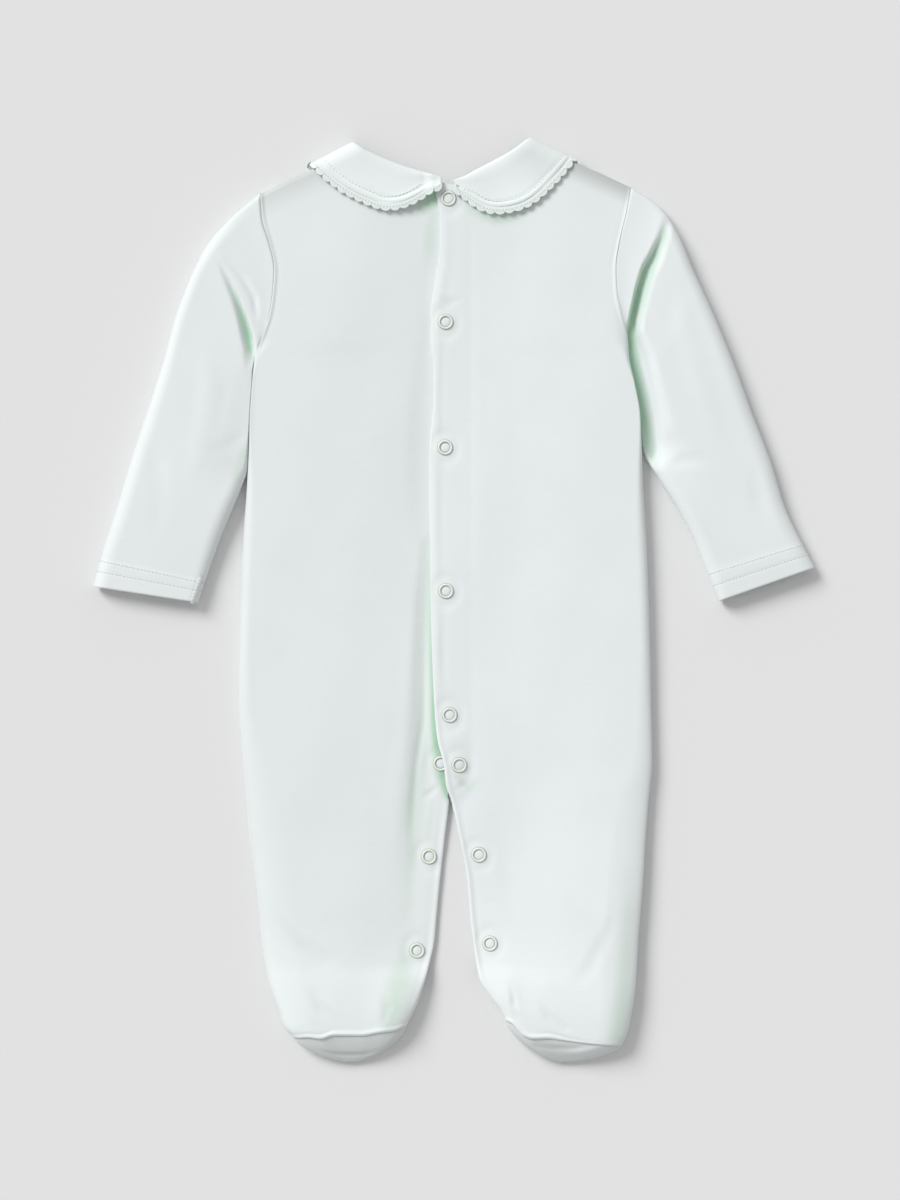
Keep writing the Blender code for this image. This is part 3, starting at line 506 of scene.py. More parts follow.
def sheet_mesh(name, grids, ring=False, pole=False):
    """Quads over grids of points, with a knit map; ring joins the last column to the first.

    A grid's fourth value, if it has one, is the painted shade there. pole closes its
    last row to a point.
    """
    points, faces, corners, painted_shade = [], [], [], []
    for grid, flip in grids:
        rows, columns = grid.shape[:2]
        knit = knit_map(grid, ring)
        start = len(points)
        points.extend(grid[..., :3].reshape(-1, 3) * MM)
        painted_shade.extend(grid[..., 3].ravel() if grid.shape[2] > 3 else [0.0] * (rows * columns))
        order = 1 if flip else -1
        for i in range(rows - 1):
            for j in range(columns if ring else columns - 1):
                quad = [(i, j), (i, j + 1), (i + 1, j + 1), (i + 1, j)][::order]
                faces.append([start + a * columns + b % columns for a, b in quad])
                corners.extend(knit[a, b] for a, b in quad)
        if pole:
            points.append(grid[-1, :, :3].mean(0) * MM)
            painted_shade.append(painted_shade[-1])
            last = start + (rows - 1) * columns
            for j in range(columns):
                faces.append([last + j, last + (j + 1) % columns, len(points) - 1][::order])
                corners.extend([knit[-1, j], knit[-1, j + 1], knit[-1].mean(0)][::order])
    data = bpy.data.meshes.new(name)
    data.from_pydata(points, [], faces)
    data.uv_layers.new(name=KNIT_MAP).data.foreach_set("uv", np.concatenate(corners))
    data.attributes.new(SHADE_ATTRIBUTE, "FLOAT", "POINT").data.foreach_set("value", np.clip(painted_shade, -1, 1))
    mesh = bmesh.new()
    mesh.from_mesh(data)
    bmesh.ops.remove_doubles(mesh, verts=mesh.verts, dist=WELD * MM)
    mesh.to_mesh(data)
    mesh.free()
    data.shade_smooth()
    return data


def new_object(name, data):
    made = bpy.data.objects.new(name, data)
    bpy.context.scene.collection.objects.link(made)
    return made


def place(name, data, look):
    """An object at the origin, with its place in its mesh."""
    data.materials.append(look)
    return new_object(name, data)


def thicken(made, thickness, clamp=0.0):
    """Thickness inwards from an outer face.

    clamp keeps it thin in sharp folds, where it limits that to so many edge lengths.
    """
    shell = made.modifiers.new("Cloth", "SOLIDIFY")
    shell.thickness = thickness * MM
    shell.offset = -1
    shell.thickness_clamp = clamp


def finished(piece, node=None):
    """The piece rides with the model's body, and stands for a node of it if one is given."""
    if node:
        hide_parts(node)
    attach(piece, "root")
    return piece


def cloth(node, grids, look, clamp=0.0, **form):
    """A panel of cloth: its outer face from grids, thickened inwards."""
    name = node + "_cloth"
    made = place(name, sheet_mesh(name, grids, **form), look)
    thicken(made, WALL, clamp)
    return finished(made, node)


jersey = knit_finish("Cotton jersey", CLOTH_PALE, CLOTH_DEEP)

front = cloth("front_panel", [(front_grid(LEFT), True), (front_grid(RIGHT), False)], jersey)


# ================================================================ Soles
# Each foot ends in a rounded sole of the same jersey, sewn to the back of the leg at the
# heel seam and to the front further up, so that it turns underneath.

SOLE_GAP = 0.1
SOLE_TIP = (-277.5, 3.4)  # y and height of the end of each foot
SOLE_RINGS = 26
SOLE_TIP_RING = 0.10      # size of the last ring, as a share of the first
SOLE_FULLNESS = 1.5       # power of the rounded outline
SOLE_FLATNESS = 0.6       # power of the underside, which stays low to the tip
HEEL_STEPS = 64
TOE_STEPS = 48
SOLE_TUCK = 1.2           # the sole lies this much lower than the leg at their seam
SOLE_DOME = 0.50          # how much steeper the sole is at the tip than at the heel seam
SOLE_SEAM_BAND = 3.0      # height over which the seam's tuck and shade begin
SOLE_SHADE = 0.36         # the sole faces away from the light and is lit by the leg
SOLE_CREASE_SHADE = 0.25  # for each millimetre of a crease's depth
SOLE_CREASES = {
    LEFT: folds("""
        -80 -269.5 1 0.2, -72 -271.6 1.3 1, -62 -272.2 1.4 1.3, -54 -271.8 1.3 1, -46 -269.6 1 0.2"""),
    RIGHT: folds("""
        66 -271.5 1.4 -0.2, 76 -270 2 -0.8, 88 -266.5 1.6 -0.3;
        48 -266.5 1.4 0.3, 60 -268 1.8 0.7, 74 -267.6 1.2 0.2"""),
}


def upper_height(x, y, half):
    """Outer height of the back, without the fine relief that back_grid() adds."""
    full, base = crown(x, y, half), collar_lift(x, y)
    share = rounding_down(x, y, half)
    shaped = (full + base) / 2 + mix(SEAM_LIP, (full - base) / 2, share)
    return np.maximum(shaped - fold_depth(x, y, BODY_FOLDS[half]), base + WALL + LAP)


def sole_grid(half):
    """Rounded cap on the end of a leg, from its seams to a pole at the tip."""
    outer, inner = outer_edge(FOOT_ROW, half), inner_edge(FOOT_ROW, half)
    x = mix(outer, inner, spread(HEEL_STEPS))
    heel_y = read(HEEL_SEAM, "y", x) - SOLE_GAP
    heel = np.stack([x, heel_y, upper_height(x, FOOT_ROW, half)], -1)
    x = mix(inner, outer, spread(TOE_STEPS))
    toe_y = read(HEEL_SEAM, "y", x) + toe_rise(x, half) - SOLE_GAP
    toe = np.stack([x, toe_y, lower_height(x, FOOT_ROW, half)], -1)
    ring = np.concatenate([heel, toe])
    tip_x = (heel[0, 0] + heel[-1, 0]) / 2
    tip_y, tip_z = SOLE_TIP
    radius = np.sin(np.linspace(math.pi / 2, SOLE_TIP_RING, SOLE_RINGS))[:, None]
    drop = 1 - (1 - radius ** SOLE_FULLNESS) ** (1 / SOLE_FULLNESS)
    rise = ring[:, 2] - tip_z
    x = tip_x + (ring[:, 0] - tip_x) * radius
    y = tip_y + (ring[:, 1] - tip_y) * drop
    domed = drop * (1 + SOLE_DOME * (1 - drop))
    z = tip_z + rise * np.where(rise < 0, radius ** SOLE_FLATNESS, domed)
    above = np.clip(rise / SOLE_SEAM_BAND, 0, 1)
    crease = fold_depth(x, y, SOLE_CREASES[half])
    z = z - above * (SOLE_TUCK * radius ** 3 + crease * radius)
    # painted shade: the sole is greyer, and more so in its creases
    painted_shade = -above * (SOLE_SHADE + SOLE_CREASE_SHADE * crease)
    return np.stack([x, y, z, painted_shade], -1)


# ================================================================ Back
# The back is cut in two halves that open down the middle. The right half laps over the
# left along a placket with five press snaps, and three more down each inner leg close it
# to the front. Their edges are folded over, so they show a soft rolled rim.

PLACKET = table("""
   y   top under
 252  -7.5   3.3
 240 -11.4   3.3
 226  -8.7   3.3
 208  -8.7   3.3
 188 -11.4   3.3
 172 -13.7   3.3
 154 -13.7   3.3
 138   -12   3.3
 120   -12   3.3
 103 -13.7   3.3
  86 -14.7   3.3
  32 -14.5   3.3
  -7 -14.1   3.3
 -46 -12.9   3.3
 -72 -11.5     3
 -84 -10.2   1.5
 -98  -6.6  -0.5
-112  -4.8    -3
-120    -2    -4
-140   2.3    -4
-168   7.6    -4
""")
TOP_END = -140.0          # the placket's line runs smoothly into the right leg's down to here
BODY_FOLDS = {            # the wide ones
    LEFT: folds("""
        -16 34 3.5 0.4, -18.5 0 4 1, -20 -46 4.5 1.2, -20 -80 5.5 1.3, -21 -112 7 1.3, -24 -140 7.5 0.9,
        -28 -175 7 0.3, -31 -215 6 0"""),
    RIGHT: folds("""
        -4 -88 10 -0.9, -5 -98 11 -1.6, -3 -108 10 -1.2"""),
}
BACK_CREASES = {          # finer ones; a negative depth is a ridge
    LEFT: folds("""
        -15.3 27 1 0, -17 -4 1.3 0.35, -18 -46 1.5 0.5, -18.8 -72 1.6 0.6, -23.1 -98 1.7 0.6,
        -25.2 -120 1.8 0.4, -27 -150 2 0;
        -19.5 -118.5 1.2 0.1, -14.5 -115.5 1.6 0.6, -9.6 -111.9 1.2 0.2;
        -24 12 3 0, -27 -40 4.5 -0.15, -30 -84 5 -0.25, -36 -124 6 -0.2, -38 -150 4 0;
        -16 176 3 0, -21 120 5 0.3, -22 70 5.5 0.35, -17.5 20 4 0;
        -104 -190 3 0, -92 -206 4 0.5, -78 -214 4.5 0.4, -66 -216 3 0;
        -88 -232 2 0, -80 -243 3 0.5, -70 -250 2.5 0.3, -62 -252 2 0;
        -44 -236 2 0, -40 -246 3 0.5, -42 -254 2 0.3"""),
    RIGHT: folds("""
        -7 156 1.8 0, -7.8 134 2.4 0.35, -8.2 112 2.4 0.35, -8 98 1.8 0;
        -8 84 1.8 0, -8.4 50 2.2 0.2, -8 14 1.8 0;
        -7 -6 1.8 0, -7.2 -34 2.4 0.3, -6 -60 1.8 0;
        -7 181 1.6 0.2, -2.1 179 2.2 0.5, 3 180.5 1.6 0.1;
        0.3 -113.7 1.2 0.2, 5 -111 1.8 0.7, 10 -108.6 1.4 0.2;
        12 236 3 0, 14 200 5 -0.1, 13 150 6 -0.15, 12 100 5 -0.1, 13 40 6 -0.15, 11 -40 5 0;
        20 -118 3 0, 27 -140 5 0.15, 31 -168 5.5 0.2, 34 -196 4.5 0;
        96 -186 3 0, 88 -206 4 0.5, 80 -220 4 0.4, 70 -230 3 0;
        34.6 -250 1.6 0.4, 35.5 -246 2 0.9, 35 -240 2 0.4, 33 -230 2 0;
        50 -238 2 0, 56 -248 3 0.5, 66 -254 2.5 0.3"""),
}
BACK_SHADES = {           # lines along which the cloth is shaded by cloth over or beside it
    LEFT: folds("""
        -29 231.5 2 0.1, -20 235.5 3.6 0.6, -13.5 240 4.2 0.95, -10.5 243 3 0.95;
        -13.5 232 2.5 0.2, -14.5 214 3.5 0.32, -15.5 196 2.5 0.05;
        -13 -56 2 0.05, -11.5 -76 3 0.45, -9.5 -92 4 0.75, -7.5 -106 3.5 0.7, -4.5 -118 2 0.45;
        -24 -104 2.5 0.1, -26 -122 3.5 0.28, -26.5 -150 3 0.22, -28 -180 3 0.12, -30 -200 3 0;
        -13 -118 2 0.05, -15 -135 2 0.2, -17 -152 1.5 0;
        -27 -204 3 0.05, -30 -216 5 0.24, -33 -230 7 0.4, -36 -243 7 0.42, -39 -254 5 0.3"""),
    RIGHT: folds("""
        4 238 1.5 0.15, 12 232.5 2 0.25, 25 228.5 2.6 0.6, 36 229.5 2.4 0.45, 46 234 1.6 0.15;
        1 -106 1.6 0.2, 8 -112 2.5 0.35, 14 -108 2 0.05;
        104 -150 3 0, 103 -200 4.5 0.22, 100 -240 5 0.35, 97 -262 5 0.35"""),
}
SHOULDER_SHADES = {       # painted shade where the shoulder turns from the light: at its edge and near it, and the width of that
    LEFT: (0.60, 0.38, 20.0),
    RIGHT: (0.40, 0.88, 15.0),
}
# Painted shade on the left half beside the right half's placket edge, along y
LAP_SHADE = table("""
    y share  250 0.1  180 0.05  60 0.12  20 0.35  -40 0.85  -100 1  -120 0.95""")
BACK_SNAPS = "x y  -3.6 240.9  -5.3 167.1  -5.6 91.8  -5.1 5.7  -2.9 -68.7"
LEG_SNAPS = {
    LEFT: "x y  -8.3 -97.9  -15.3 -153.9  -22.5 -210.3",
    RIGHT: "x y  2.9 -98.7  14.7 -152.7  21.3 -206.1",
}
EDGE_DROP = 0.45          # how far a folded edge rounds down at its very rim
EDGE_REACH = 1.3          # and over what width
LAP_EDGE = (5.5, 0.55)    # reach and drop of the placket's softer edge
RIM_BEAD = (1.5, 1.0)     # place and width of the bead along a rim
RIM_GROOVE = (4.2, 1.5)   # and of the groove behind it
RIM_UNEVENNESS = (0.65, 0.35, 15.0)   # mean and swing of a groove's depth, and its length
LEG_RIMS = {LEFT: (0.15, 0.10), RIGHT: (0.25, 0.12)}   # heights of bead and groove
PLACKET_RIM = (0.10, 0.13, 2.0)       # the same on the placket, where both are wider
PLACKET_RIM_ROWS = (-80.0, -30.0)
RIM_END = 3.0             # the left rim shows to this far past the crotch
RIM_FOOT_ROW = -238.0     # rims die out from here to the sole
ARMHOLE_ROWS = (-6.0, 4.0)            # the ridge begins between these, from the underarm
ARMHOLE_RIDGE = (0.40, 0.8, 0.7)      # height, place and width beside the seam
ARMHOLE_GROOVE = (0.10, 2.6, 1.2)
HEEL_RIM = {              # rolled rim above each sole, and a crease this far above the seam
    LEFT: table("""
  x bead crease above
-96  0.3    0.5   2.2
-84 0.35    0.6   2.4
-77  0.6    0.4     3
-70  0.9    0.1   3.4
-58  0.8      0   3.4
-44  0.8      0   3.4
-36  0.4    0.2     3
-29  0.2    0.3   2.4
"""),
    RIGHT: table("""
  x bead crease above
 31  0.3    0.3   2.4
 36    1      0   3.4
 46  1.1    0.1   3.2
 56  0.7   0.55   3.2
 64  0.3    0.7   2.4
 72  0.1    0.5   1.6
 84  0.1    0.2   1.6
100  0.2      0     2
"""),
}
HEEL_WIDTHS = (1.1, 0.8)  # of the bead and the crease
HEEL_BAND = 12.0          # both end this far above the seam
PUCKER_RADIUS = 7.6       # shallow ring that a snap presses into the cloth
PUCKER_WIDTH = 2.2
PUCKER_DEPTH = 0.32
PUCKER_LENGTH = 0.85      # it is longer than wide
TUCKED_UNDER = 0.45       # the hidden edge under the placket is pressed down this much
TUCKED_ACROSS = (-10.0, -5.0)
TUCKED_DOWN = (-95.0, -60.0)
FOLD_DARKEST = 9.0        # depth at which a wide fold's painted shade is darkest
CREASE_DARKEST = 5.0      # and a fine one's
LAP_SHADE_WIDTH = 2.2
SHOULDER_LINE = 1.5       # width of the shade at the shoulder's very edge
NECK_SIDE = (0.0, 12.0)   # the shoulder's shade begins between these, beside the neck
BESIDE_SEAM = 0.002       # share of the width at which one more column keeps a side seam narrow
SIDE_SHADE = {LEFT: 0.28, RIGHT: 0.0}   # painted shade: the side turned to the lamp is a little greyer
SIDE_WIDTH = 2.2          # over which that dies out
SWELL = (0.16, 0.12, 0.10)            # heights of three faint waves
SWELL_LENGTHS = (17.0, 23.0, 9.5, 31.0, 12.5, 40.0)
SWELL_STARTS = (1.3, 0.4, 2.0, 0.7)
BACK_STEPS = {"fold": 10, "armhole": 66, "torso": 148, "leg": 48, "foot": 44}
BACK_COLUMNS = 88


def pairs(text):
    rows = table(text)
    return np.stack([rows["x"], rows["y"]], -1)


def free_edge(y, half):
    """Edge of a back half along the placket and down its inner leg."""
    column, end = ("under", CROTCH_Y) if half == LEFT else ("top", TOP_END)
    return np.where(y > end, read(PLACKET, column, y), inner_edge(y, half))


def rolled_rim(distance, bead, groove, width=1.0, reach=EDGE_REACH, drop=EDGE_DROP):
    """A folded edge: it rounds down at the rim, swells to a bead and dips behind it."""
    (bead_at, bead_width), (dip_at, dip_width) = RIM_BEAD, RIM_GROOVE
    rim = bead * bell(distance / width - bead_at, bead_width)
    dip = groove * bell(distance / width - dip_at, dip_width)
    return rim - dip - drop * (1 - np.clip(distance / reach, 0, 1)) ** 2


def swell(x, y):
    """Faint unevenness of cloth that lies loosely, the same in all layers."""
    (high, middle, low), (a, b, c, d, e, f), (i, j, k, m) = SWELL, SWELL_LENGTHS, SWELL_STARTS
    return (high * np.sin(x / a + i) * np.sin(y / b + j)
            + middle * np.sin(x / c - y / d + k) + low * np.sin(y / e + x / f + m))


def back_relief(x, y, half, snaps):
    """Rims, seam ridges, creases and puckers, added to the height of a back half."""
    from_free = (x - free_edge(y, half)) * half
    mean, swing, length = RIM_UNEVENNESS
    uneven = mean + swing * np.sin(y / length + 2 * half)
    bead, groove = LEG_RIMS[half]
    rim = rolled_rim(from_free, bead, groove * uneven)
    if half == RIGHT:
        bead, groove, width = PLACKET_RIM
        on_placket = rolled_rim(from_free, bead, groove * uneven, width, *LAP_EDGE)
        rim = mix(rim, on_placket, fade(y, PLACKET_RIM_ROWS))
    else:
        rim = rim * (1 - fade(y, (CROTCH_Y - RIM_END, CROTCH_Y + RIM_END)))
        rim = rim - TUCKED_UNDER * (fade(x, TUCKED_ACROSS) * fade(y, TUCKED_DOWN))
    rim = rim * mix(1, fade(y, (FOOT_ROW, RIM_FOOT_ROW)), y < CROTCH_Y)
    from_side = (outer_edge(y, half) - x) * half
    (ridge, ridge_at, ridge_width), (dip, dip_at, dip_width) = ARMHOLE_RIDGE, ARMHOLE_GROOVE
    armhole = (ridge * bell(from_side - ridge_at, ridge_width)
               - dip * bell(from_side - dip_at, dip_width))
    at_armhole = fade(y - UNDERARM_Y[half], ARMHOLE_ROWS)
    from_heel = y - FOOT_ROW
    bead, crease, above = (read(HEEL_RIM[half], name, x) for name in ("bead", "crease", "above"))
    heel = (rolled_rim(from_heel, bead, 0.0, HEEL_WIDTHS[0])
            - crease * bell(from_heel - above, HEEL_WIDTHS[1]))
    pucker = np.zeros(np.broadcast(x, y).shape)
    for snap_x, snap_y in snaps:
        reach = np.hypot(x - snap_x, (y - snap_y) * PUCKER_LENGTH)
        pucker = pucker + PUCKER_DEPTH * bell(reach - PUCKER_RADIUS, PUCKER_WIDTH)
    level = rounding_down(x, y, half)
    return ((rim - pucker - fold_depth(x, y, BACK_CREASES[half]) + swell(x, y)) * level
            + armhole * at_armhole * level + heel * (from_heel < HEEL_BAND))


def back_painted_shade(x, y, half):
    """Painted shade of a back half: green in its creases, along its shade lines and beside the placket,
    grey (below 0) along the shoulders and on the side turned to the lamp.
    """
    painted_shade = np.clip(fold_depth(x, y, BODY_FOLDS[half]) / FOLD_DARKEST
                     + fold_depth(x, y, BACK_CREASES[half]) / CREASE_DARKEST, 0, 1)
    painted_shade = painted_shade + fold_depth(x, y, BACK_SHADES[half])
    if half == LEFT:
        from_lap = read(PLACKET, "top", np.maximum(y, CROTCH_Y)) - x
        painted_shade = painted_shade + read(LAP_SHADE, "share", y) * bell(np.maximum(from_lap, 0), LAP_SHADE_WIDTH)
    at_edge, near, width = SHOULDER_SHADES[half]
    below = np.maximum(read(BACK_TOP, "y", x) - y, 0)
    neck = NECK_LEFT if half == LEFT else NECK_RIGHT
    beside_neck = fade((x - neck) * half, NECK_SIDE)
    turned = (at_edge * np.exp(-below / SHOULDER_LINE) + near * (1 - ease(below / width))) * beside_neck
    from_side = (outer_edge(y, half) - x) * half
    turned = turned + SIDE_SHADE[half] * bell(from_side, SIDE_WIDTH)
    return np.clip(painted_shade, 0, 1) - turned


def back_grid(half, snaps):
    row = body_rows(**BACK_STEPS)
    across = np.insert(spread(BACK_COLUMNS), 1, BESIDE_SEAM)[None, :]
    x = mix(outer_edge(row, half), free_edge(row, half), across)
    y = bent(x, row, BACK_TOP)
    level = np.where(row < CROTCH_Y, row, y)
    share = rounding_down(x, level, half)
    z = upper_height(x, level, half) + back_relief(x, level, half, snaps)
    return with_lips(x, y, z, share, -1, back_painted_shade(x, y, half))


snap_places = {LEFT: pairs(LEG_SNAPS[LEFT]),
               RIGHT: np.concatenate([pairs(BACK_SNAPS), pairs(LEG_SNAPS[RIGHT])])}

for half, side in HALVES:
    turned = half == RIGHT
    sole = cloth("sole_" + side, [(sole_grid(half), turned)], jersey, ring=True, pole=True)
    cloth("back_" + side, [(back_grid(half, snap_places[half]), turned)], jersey)


# ================================================================ Sleeves
# Each long sleeve is one piece of jersey, sewn into a tube along its underside and into
# the armhole. It lies flat beside the body, with deep folds where it turns down from the
# shoulder, and ends in a turned-up hem held by a twin-needle seam.

SLEEVE_ROWS = 11
SLEEVES = {
    LEFT: table("""
row outer_x outer_y inner_x inner_y loft  lip roll
  0  -115.5   244.5  -120.5   146.7  9.2    7    4
  1  -134.7   228.3  -121.5     137 10.6 10.1  0.4
  2  -147.4   214.2  -121.8     127 10.6 10.1  0.4
  3  -155.9   199.5  -122.3     117 10.5 10.1  0.4
  4    -162   185.1  -122.8     107 10.6 10.1  0.4
  5  -167.3   170.7  -123.3      97 10.8 10.1  0.8
  6  -175.2   141.9    -124      80 11.1  9.7  3.5
  7  -184.4   113.1  -128.2      67 11.8 10.8    7
  8    -194    84.3  -134.4      52 11.6 11.5    8
  9  -202.6    55.5  -140.8    36.5   11   11    8
 10  -211.4    28.5  -147.8      17 10.2 10.2    7
 11  -216.9     8.3  -154.1    -1.3  9.6  9.6    6
"""),
    RIGHT: table("""
row outer_x outer_y inner_x inner_y loft  lip roll
  0     106   247.8   104.2     162  9.2    7    4
  1   124.5     235   104.9     152 10.6  3.2  1.6
  2   134.6     219   105.6     141 11.8  3.2  1.6
  3   142.7   199.5     108     129 12.4  3.2  1.6
  4   149.3   185.1     110     118 12.8  3.2  1.6
  5   155.8   170.7   111.6     107 12.8  3.2  1.6
  6   167.6   141.9   113.6      90 12.6    4    2
  7   178.2   113.1     122      74 12.2 10.8    7
  8   189.3    84.3     134    54.5 11.8 11.6    8
  9   198.4    55.5   143.6    36.5 11.2 11.2    8
 10   209.6    32.5   152.6    14.5 10.4 10.4    7
 11   216.3    19.9   158.7    -0.3  9.6  9.6    6
"""),
}
ARMHOLE_GAP = 0.03
ARMHOLE_LINE = {LEFT: 0.50, RIGHT: 0.10}   # the cloth is shaded where the seam pulls it in
LINE_WIDTH = 0.10         # rows over which that shade dies out
OUTER_SHADE = {LEFT: 0.32, RIGHT: 0.0}   # painted shade on the outer fold, as at the body's side
OUTER_ROLL = 9.0          # width of the rounding along a sleeve's outer fold
LIP_RISE = 24.0           # the cloth rises from the lip to the full loft over this
ARMHOLE_FADE = 3.2        # rows over which the armhole's curve dies out
ARMHOLE_ROUNDS = 3        # of the search for a nominal row
SEAM_FADE = 1.8           # rows over which the body's height at the seam dies out
SEAM_END = 4.0            # the sleeve's two layers part over this much at the underarm
INSIDE_GAP = 1.0          # least space between a sleeve's layers, in its folds
CUFF_SLIP = {LEFT: 0.0, RIGHT: 3.0}   # the lower layer shows this far past the hem
UNDER_SHADE = 0.10        # it lies in the shade of the upper layer
SLIP_RISE = 0.9           # it rises this much off the surface for each millimetre that shows
SLIP_SIDEWAYS = 0.3       # and this share of it to the outside
SLEEVE_FOLDS = {
    LEFT: folds("""
        -140 201 1.2 0.3 0.6, -135 191 1.7 2 0.6, -130 180 2.2 3.6 0.6, -126 169 2.8 4.8 0.6,
        -123.2 158 3.2 5 0.7, -121.9 151.5 3.2 3.6 0.9, -121.8 145.5 3 1.7 1, -122.2 138 2.6 0.2 1;
        -136 203.5 1.6 0.3, -126.5 193 2 1.1, -119.8 181 2 1.1, -118.4 171 1.6 0.4;
        -150 150 4 0, -146 128 6 -0.5, -150 100 6 -0.4, -158 70 4 0;
        -128 98 2.5 0.1, -136 92 4 0.3, -146 90 4 0.1, -156 92 3 0;
        -186 100 3 0, -178 82 5 0.4, -176 58 5 0.3, -180 36 3 0"""),
    RIGHT: folds("""
        121 78 3 0 0.6, 117.5 94 5 5.5 0.6, 115 110 5.5 7.8 0.6, 112 127 5.5 7.8 0.6,
        108.5 146 5 7.8 0.5, 105.8 160 4.5 7.8 0.4, 107.2 172 4.5 7.8 0.35, 110.2 186 4.8 7.4 0.3,
        113.8 198 4.8 6.6 0.3, 119 207.5 4.5 5 0.35, 123.5 216 3.5 3 0.5, 127.5 226 2.5 0.8 1;
        134 190 4 0, 138 160 6 -0.5, 148 125 6.5 -0.5, 160 90 4 0;
        128 80 2.5 0.2, 137 84 4 0.7, 148 84 4 0.3, 158 80 3 0;
        178 84 3 0, 182 60 5 0.5, 190 38 4 0"""),
}
SLEEVE_SHADES = {         # lines along which the cloth is shaded by cloth over or beside it
    LEFT: folds("""
        -139 199.5 0.8 0.02 0.8, -134.8 190.5 1.6 0.3 0.6, -130 180 2.2 0.55 0.6, -126 169 2.8 0.75 0.6,
        -123 158 3 0.95 0.6, -121.8 150 2.6 0.95 0.6, -121.6 145 1.6 0.4 0.6;
        -122.8 98 2 0, -125 88 3 0.35, -129 78 3 0.3, -135 66 2 0"""),
    RIGHT: folds("""
        123 76 2 0.1 1, 117 92 4.2 0.6 1, 113.5 110 4.8 0.95 1, 110 127 4.8 1 1, 106.5 146 4.6 1 1,
        104.8 160 4 1 0.5, 106.2 172 4 0.95 0.3, 109.4 186 4.2 0.85 0.3, 113 198 4 0.7 0.3,
        118.5 207.5 3.4 0.45 0.35, 123 216 2.2 0.25 0.5, 127 226 1.4 0.05 1;
        124.5 228 1.6 0.05, 126.5 218 2.6 0.22, 127.5 206 2.6 0.05;
        126 220 1.8 0.15, 122.8 211 2.2 0.42, 119.2 200 2.4 0.46, 115.8 187 2.4 0.36,
        113.2 174 2.4 0.26, 112.6 160 2.2 0.12"""),
}
HEM_SCALE = {LEFT: 20.2, RIGHT: 15.2}     # length of the last row, before the hem
HEM_LINES = {             # twin seam: distance from the hem at the outer and the inner fold
    LEFT: ((9.8, 7.8), (16.0, 13.2)),
    RIGHT: ((10.0, 10.0), (16.2, 16.2)),
}
HEM_FULLNESS = 0.35       # the hem is two layers thick
HEM_STEP = (0.0, 2.0)     # above the upper seam it thins to one over this
HEM_GROOVE = (0.16, 0.8)  # depth and width of a seam's groove
HEM_ROUNDING = 1.0        # width over which the hem's edge rounds down
SLIP_SHADED = (0.5, 2.0)  # the lower layer is in the shade where more than this shows
UNDERARM_SEAM = {LEFT: (0.957, 0.55)}   # place across and half the height of its end
SLEEVE_STEPS = (120, 40)  # to the last row, and in it
SHARPEST_FOLD = 1.5       # limit of the thickness there, as thicken() says
OVER_COLUMNS = 52
UNDER_COLUMNS = 36


def armhole(share, half):
    """Point on the armhole seam, from the shoulder (0) to the underarm (1)."""
    y = mix(SLEEVES[half]["outer_y"][0], UNDERARM_Y[half], share)
    row = y
    for _ in range(ARMHOLE_ROUNDS):
        shoulder = read(BACK_TOP, "y", outer_edge(row, half))
        row = y - (shoulder - NECK_ROW) * fade(row, (BEND_ROW, NECK_ROW))
    return outer_edge(row, half), y


def hem_relief(across, row, half):
    """Doubled hem with the grooves of its twin seam."""
    from_hem = (SLEEVE_ROWS - row) * HEM_SCALE[half]
    (low_outer, low_inner), (high_outer, high_inner) = HEM_LINES[half]
    low, high = mix(low_outer, low_inner, across), mix(high_outer, high_inner, across)
    doubled = HEM_FULLNESS * (1 - fade(from_hem - high, HEM_STEP))
    deep, wide = HEM_GROOVE
    grooves = deep * (bell(from_hem - low, wide) + bell(from_hem - high, wide))
    return doubled - grooves - EDGE_DROP * (1 - np.clip(from_hem / HEM_ROUNDING, 0, 1)) ** 2


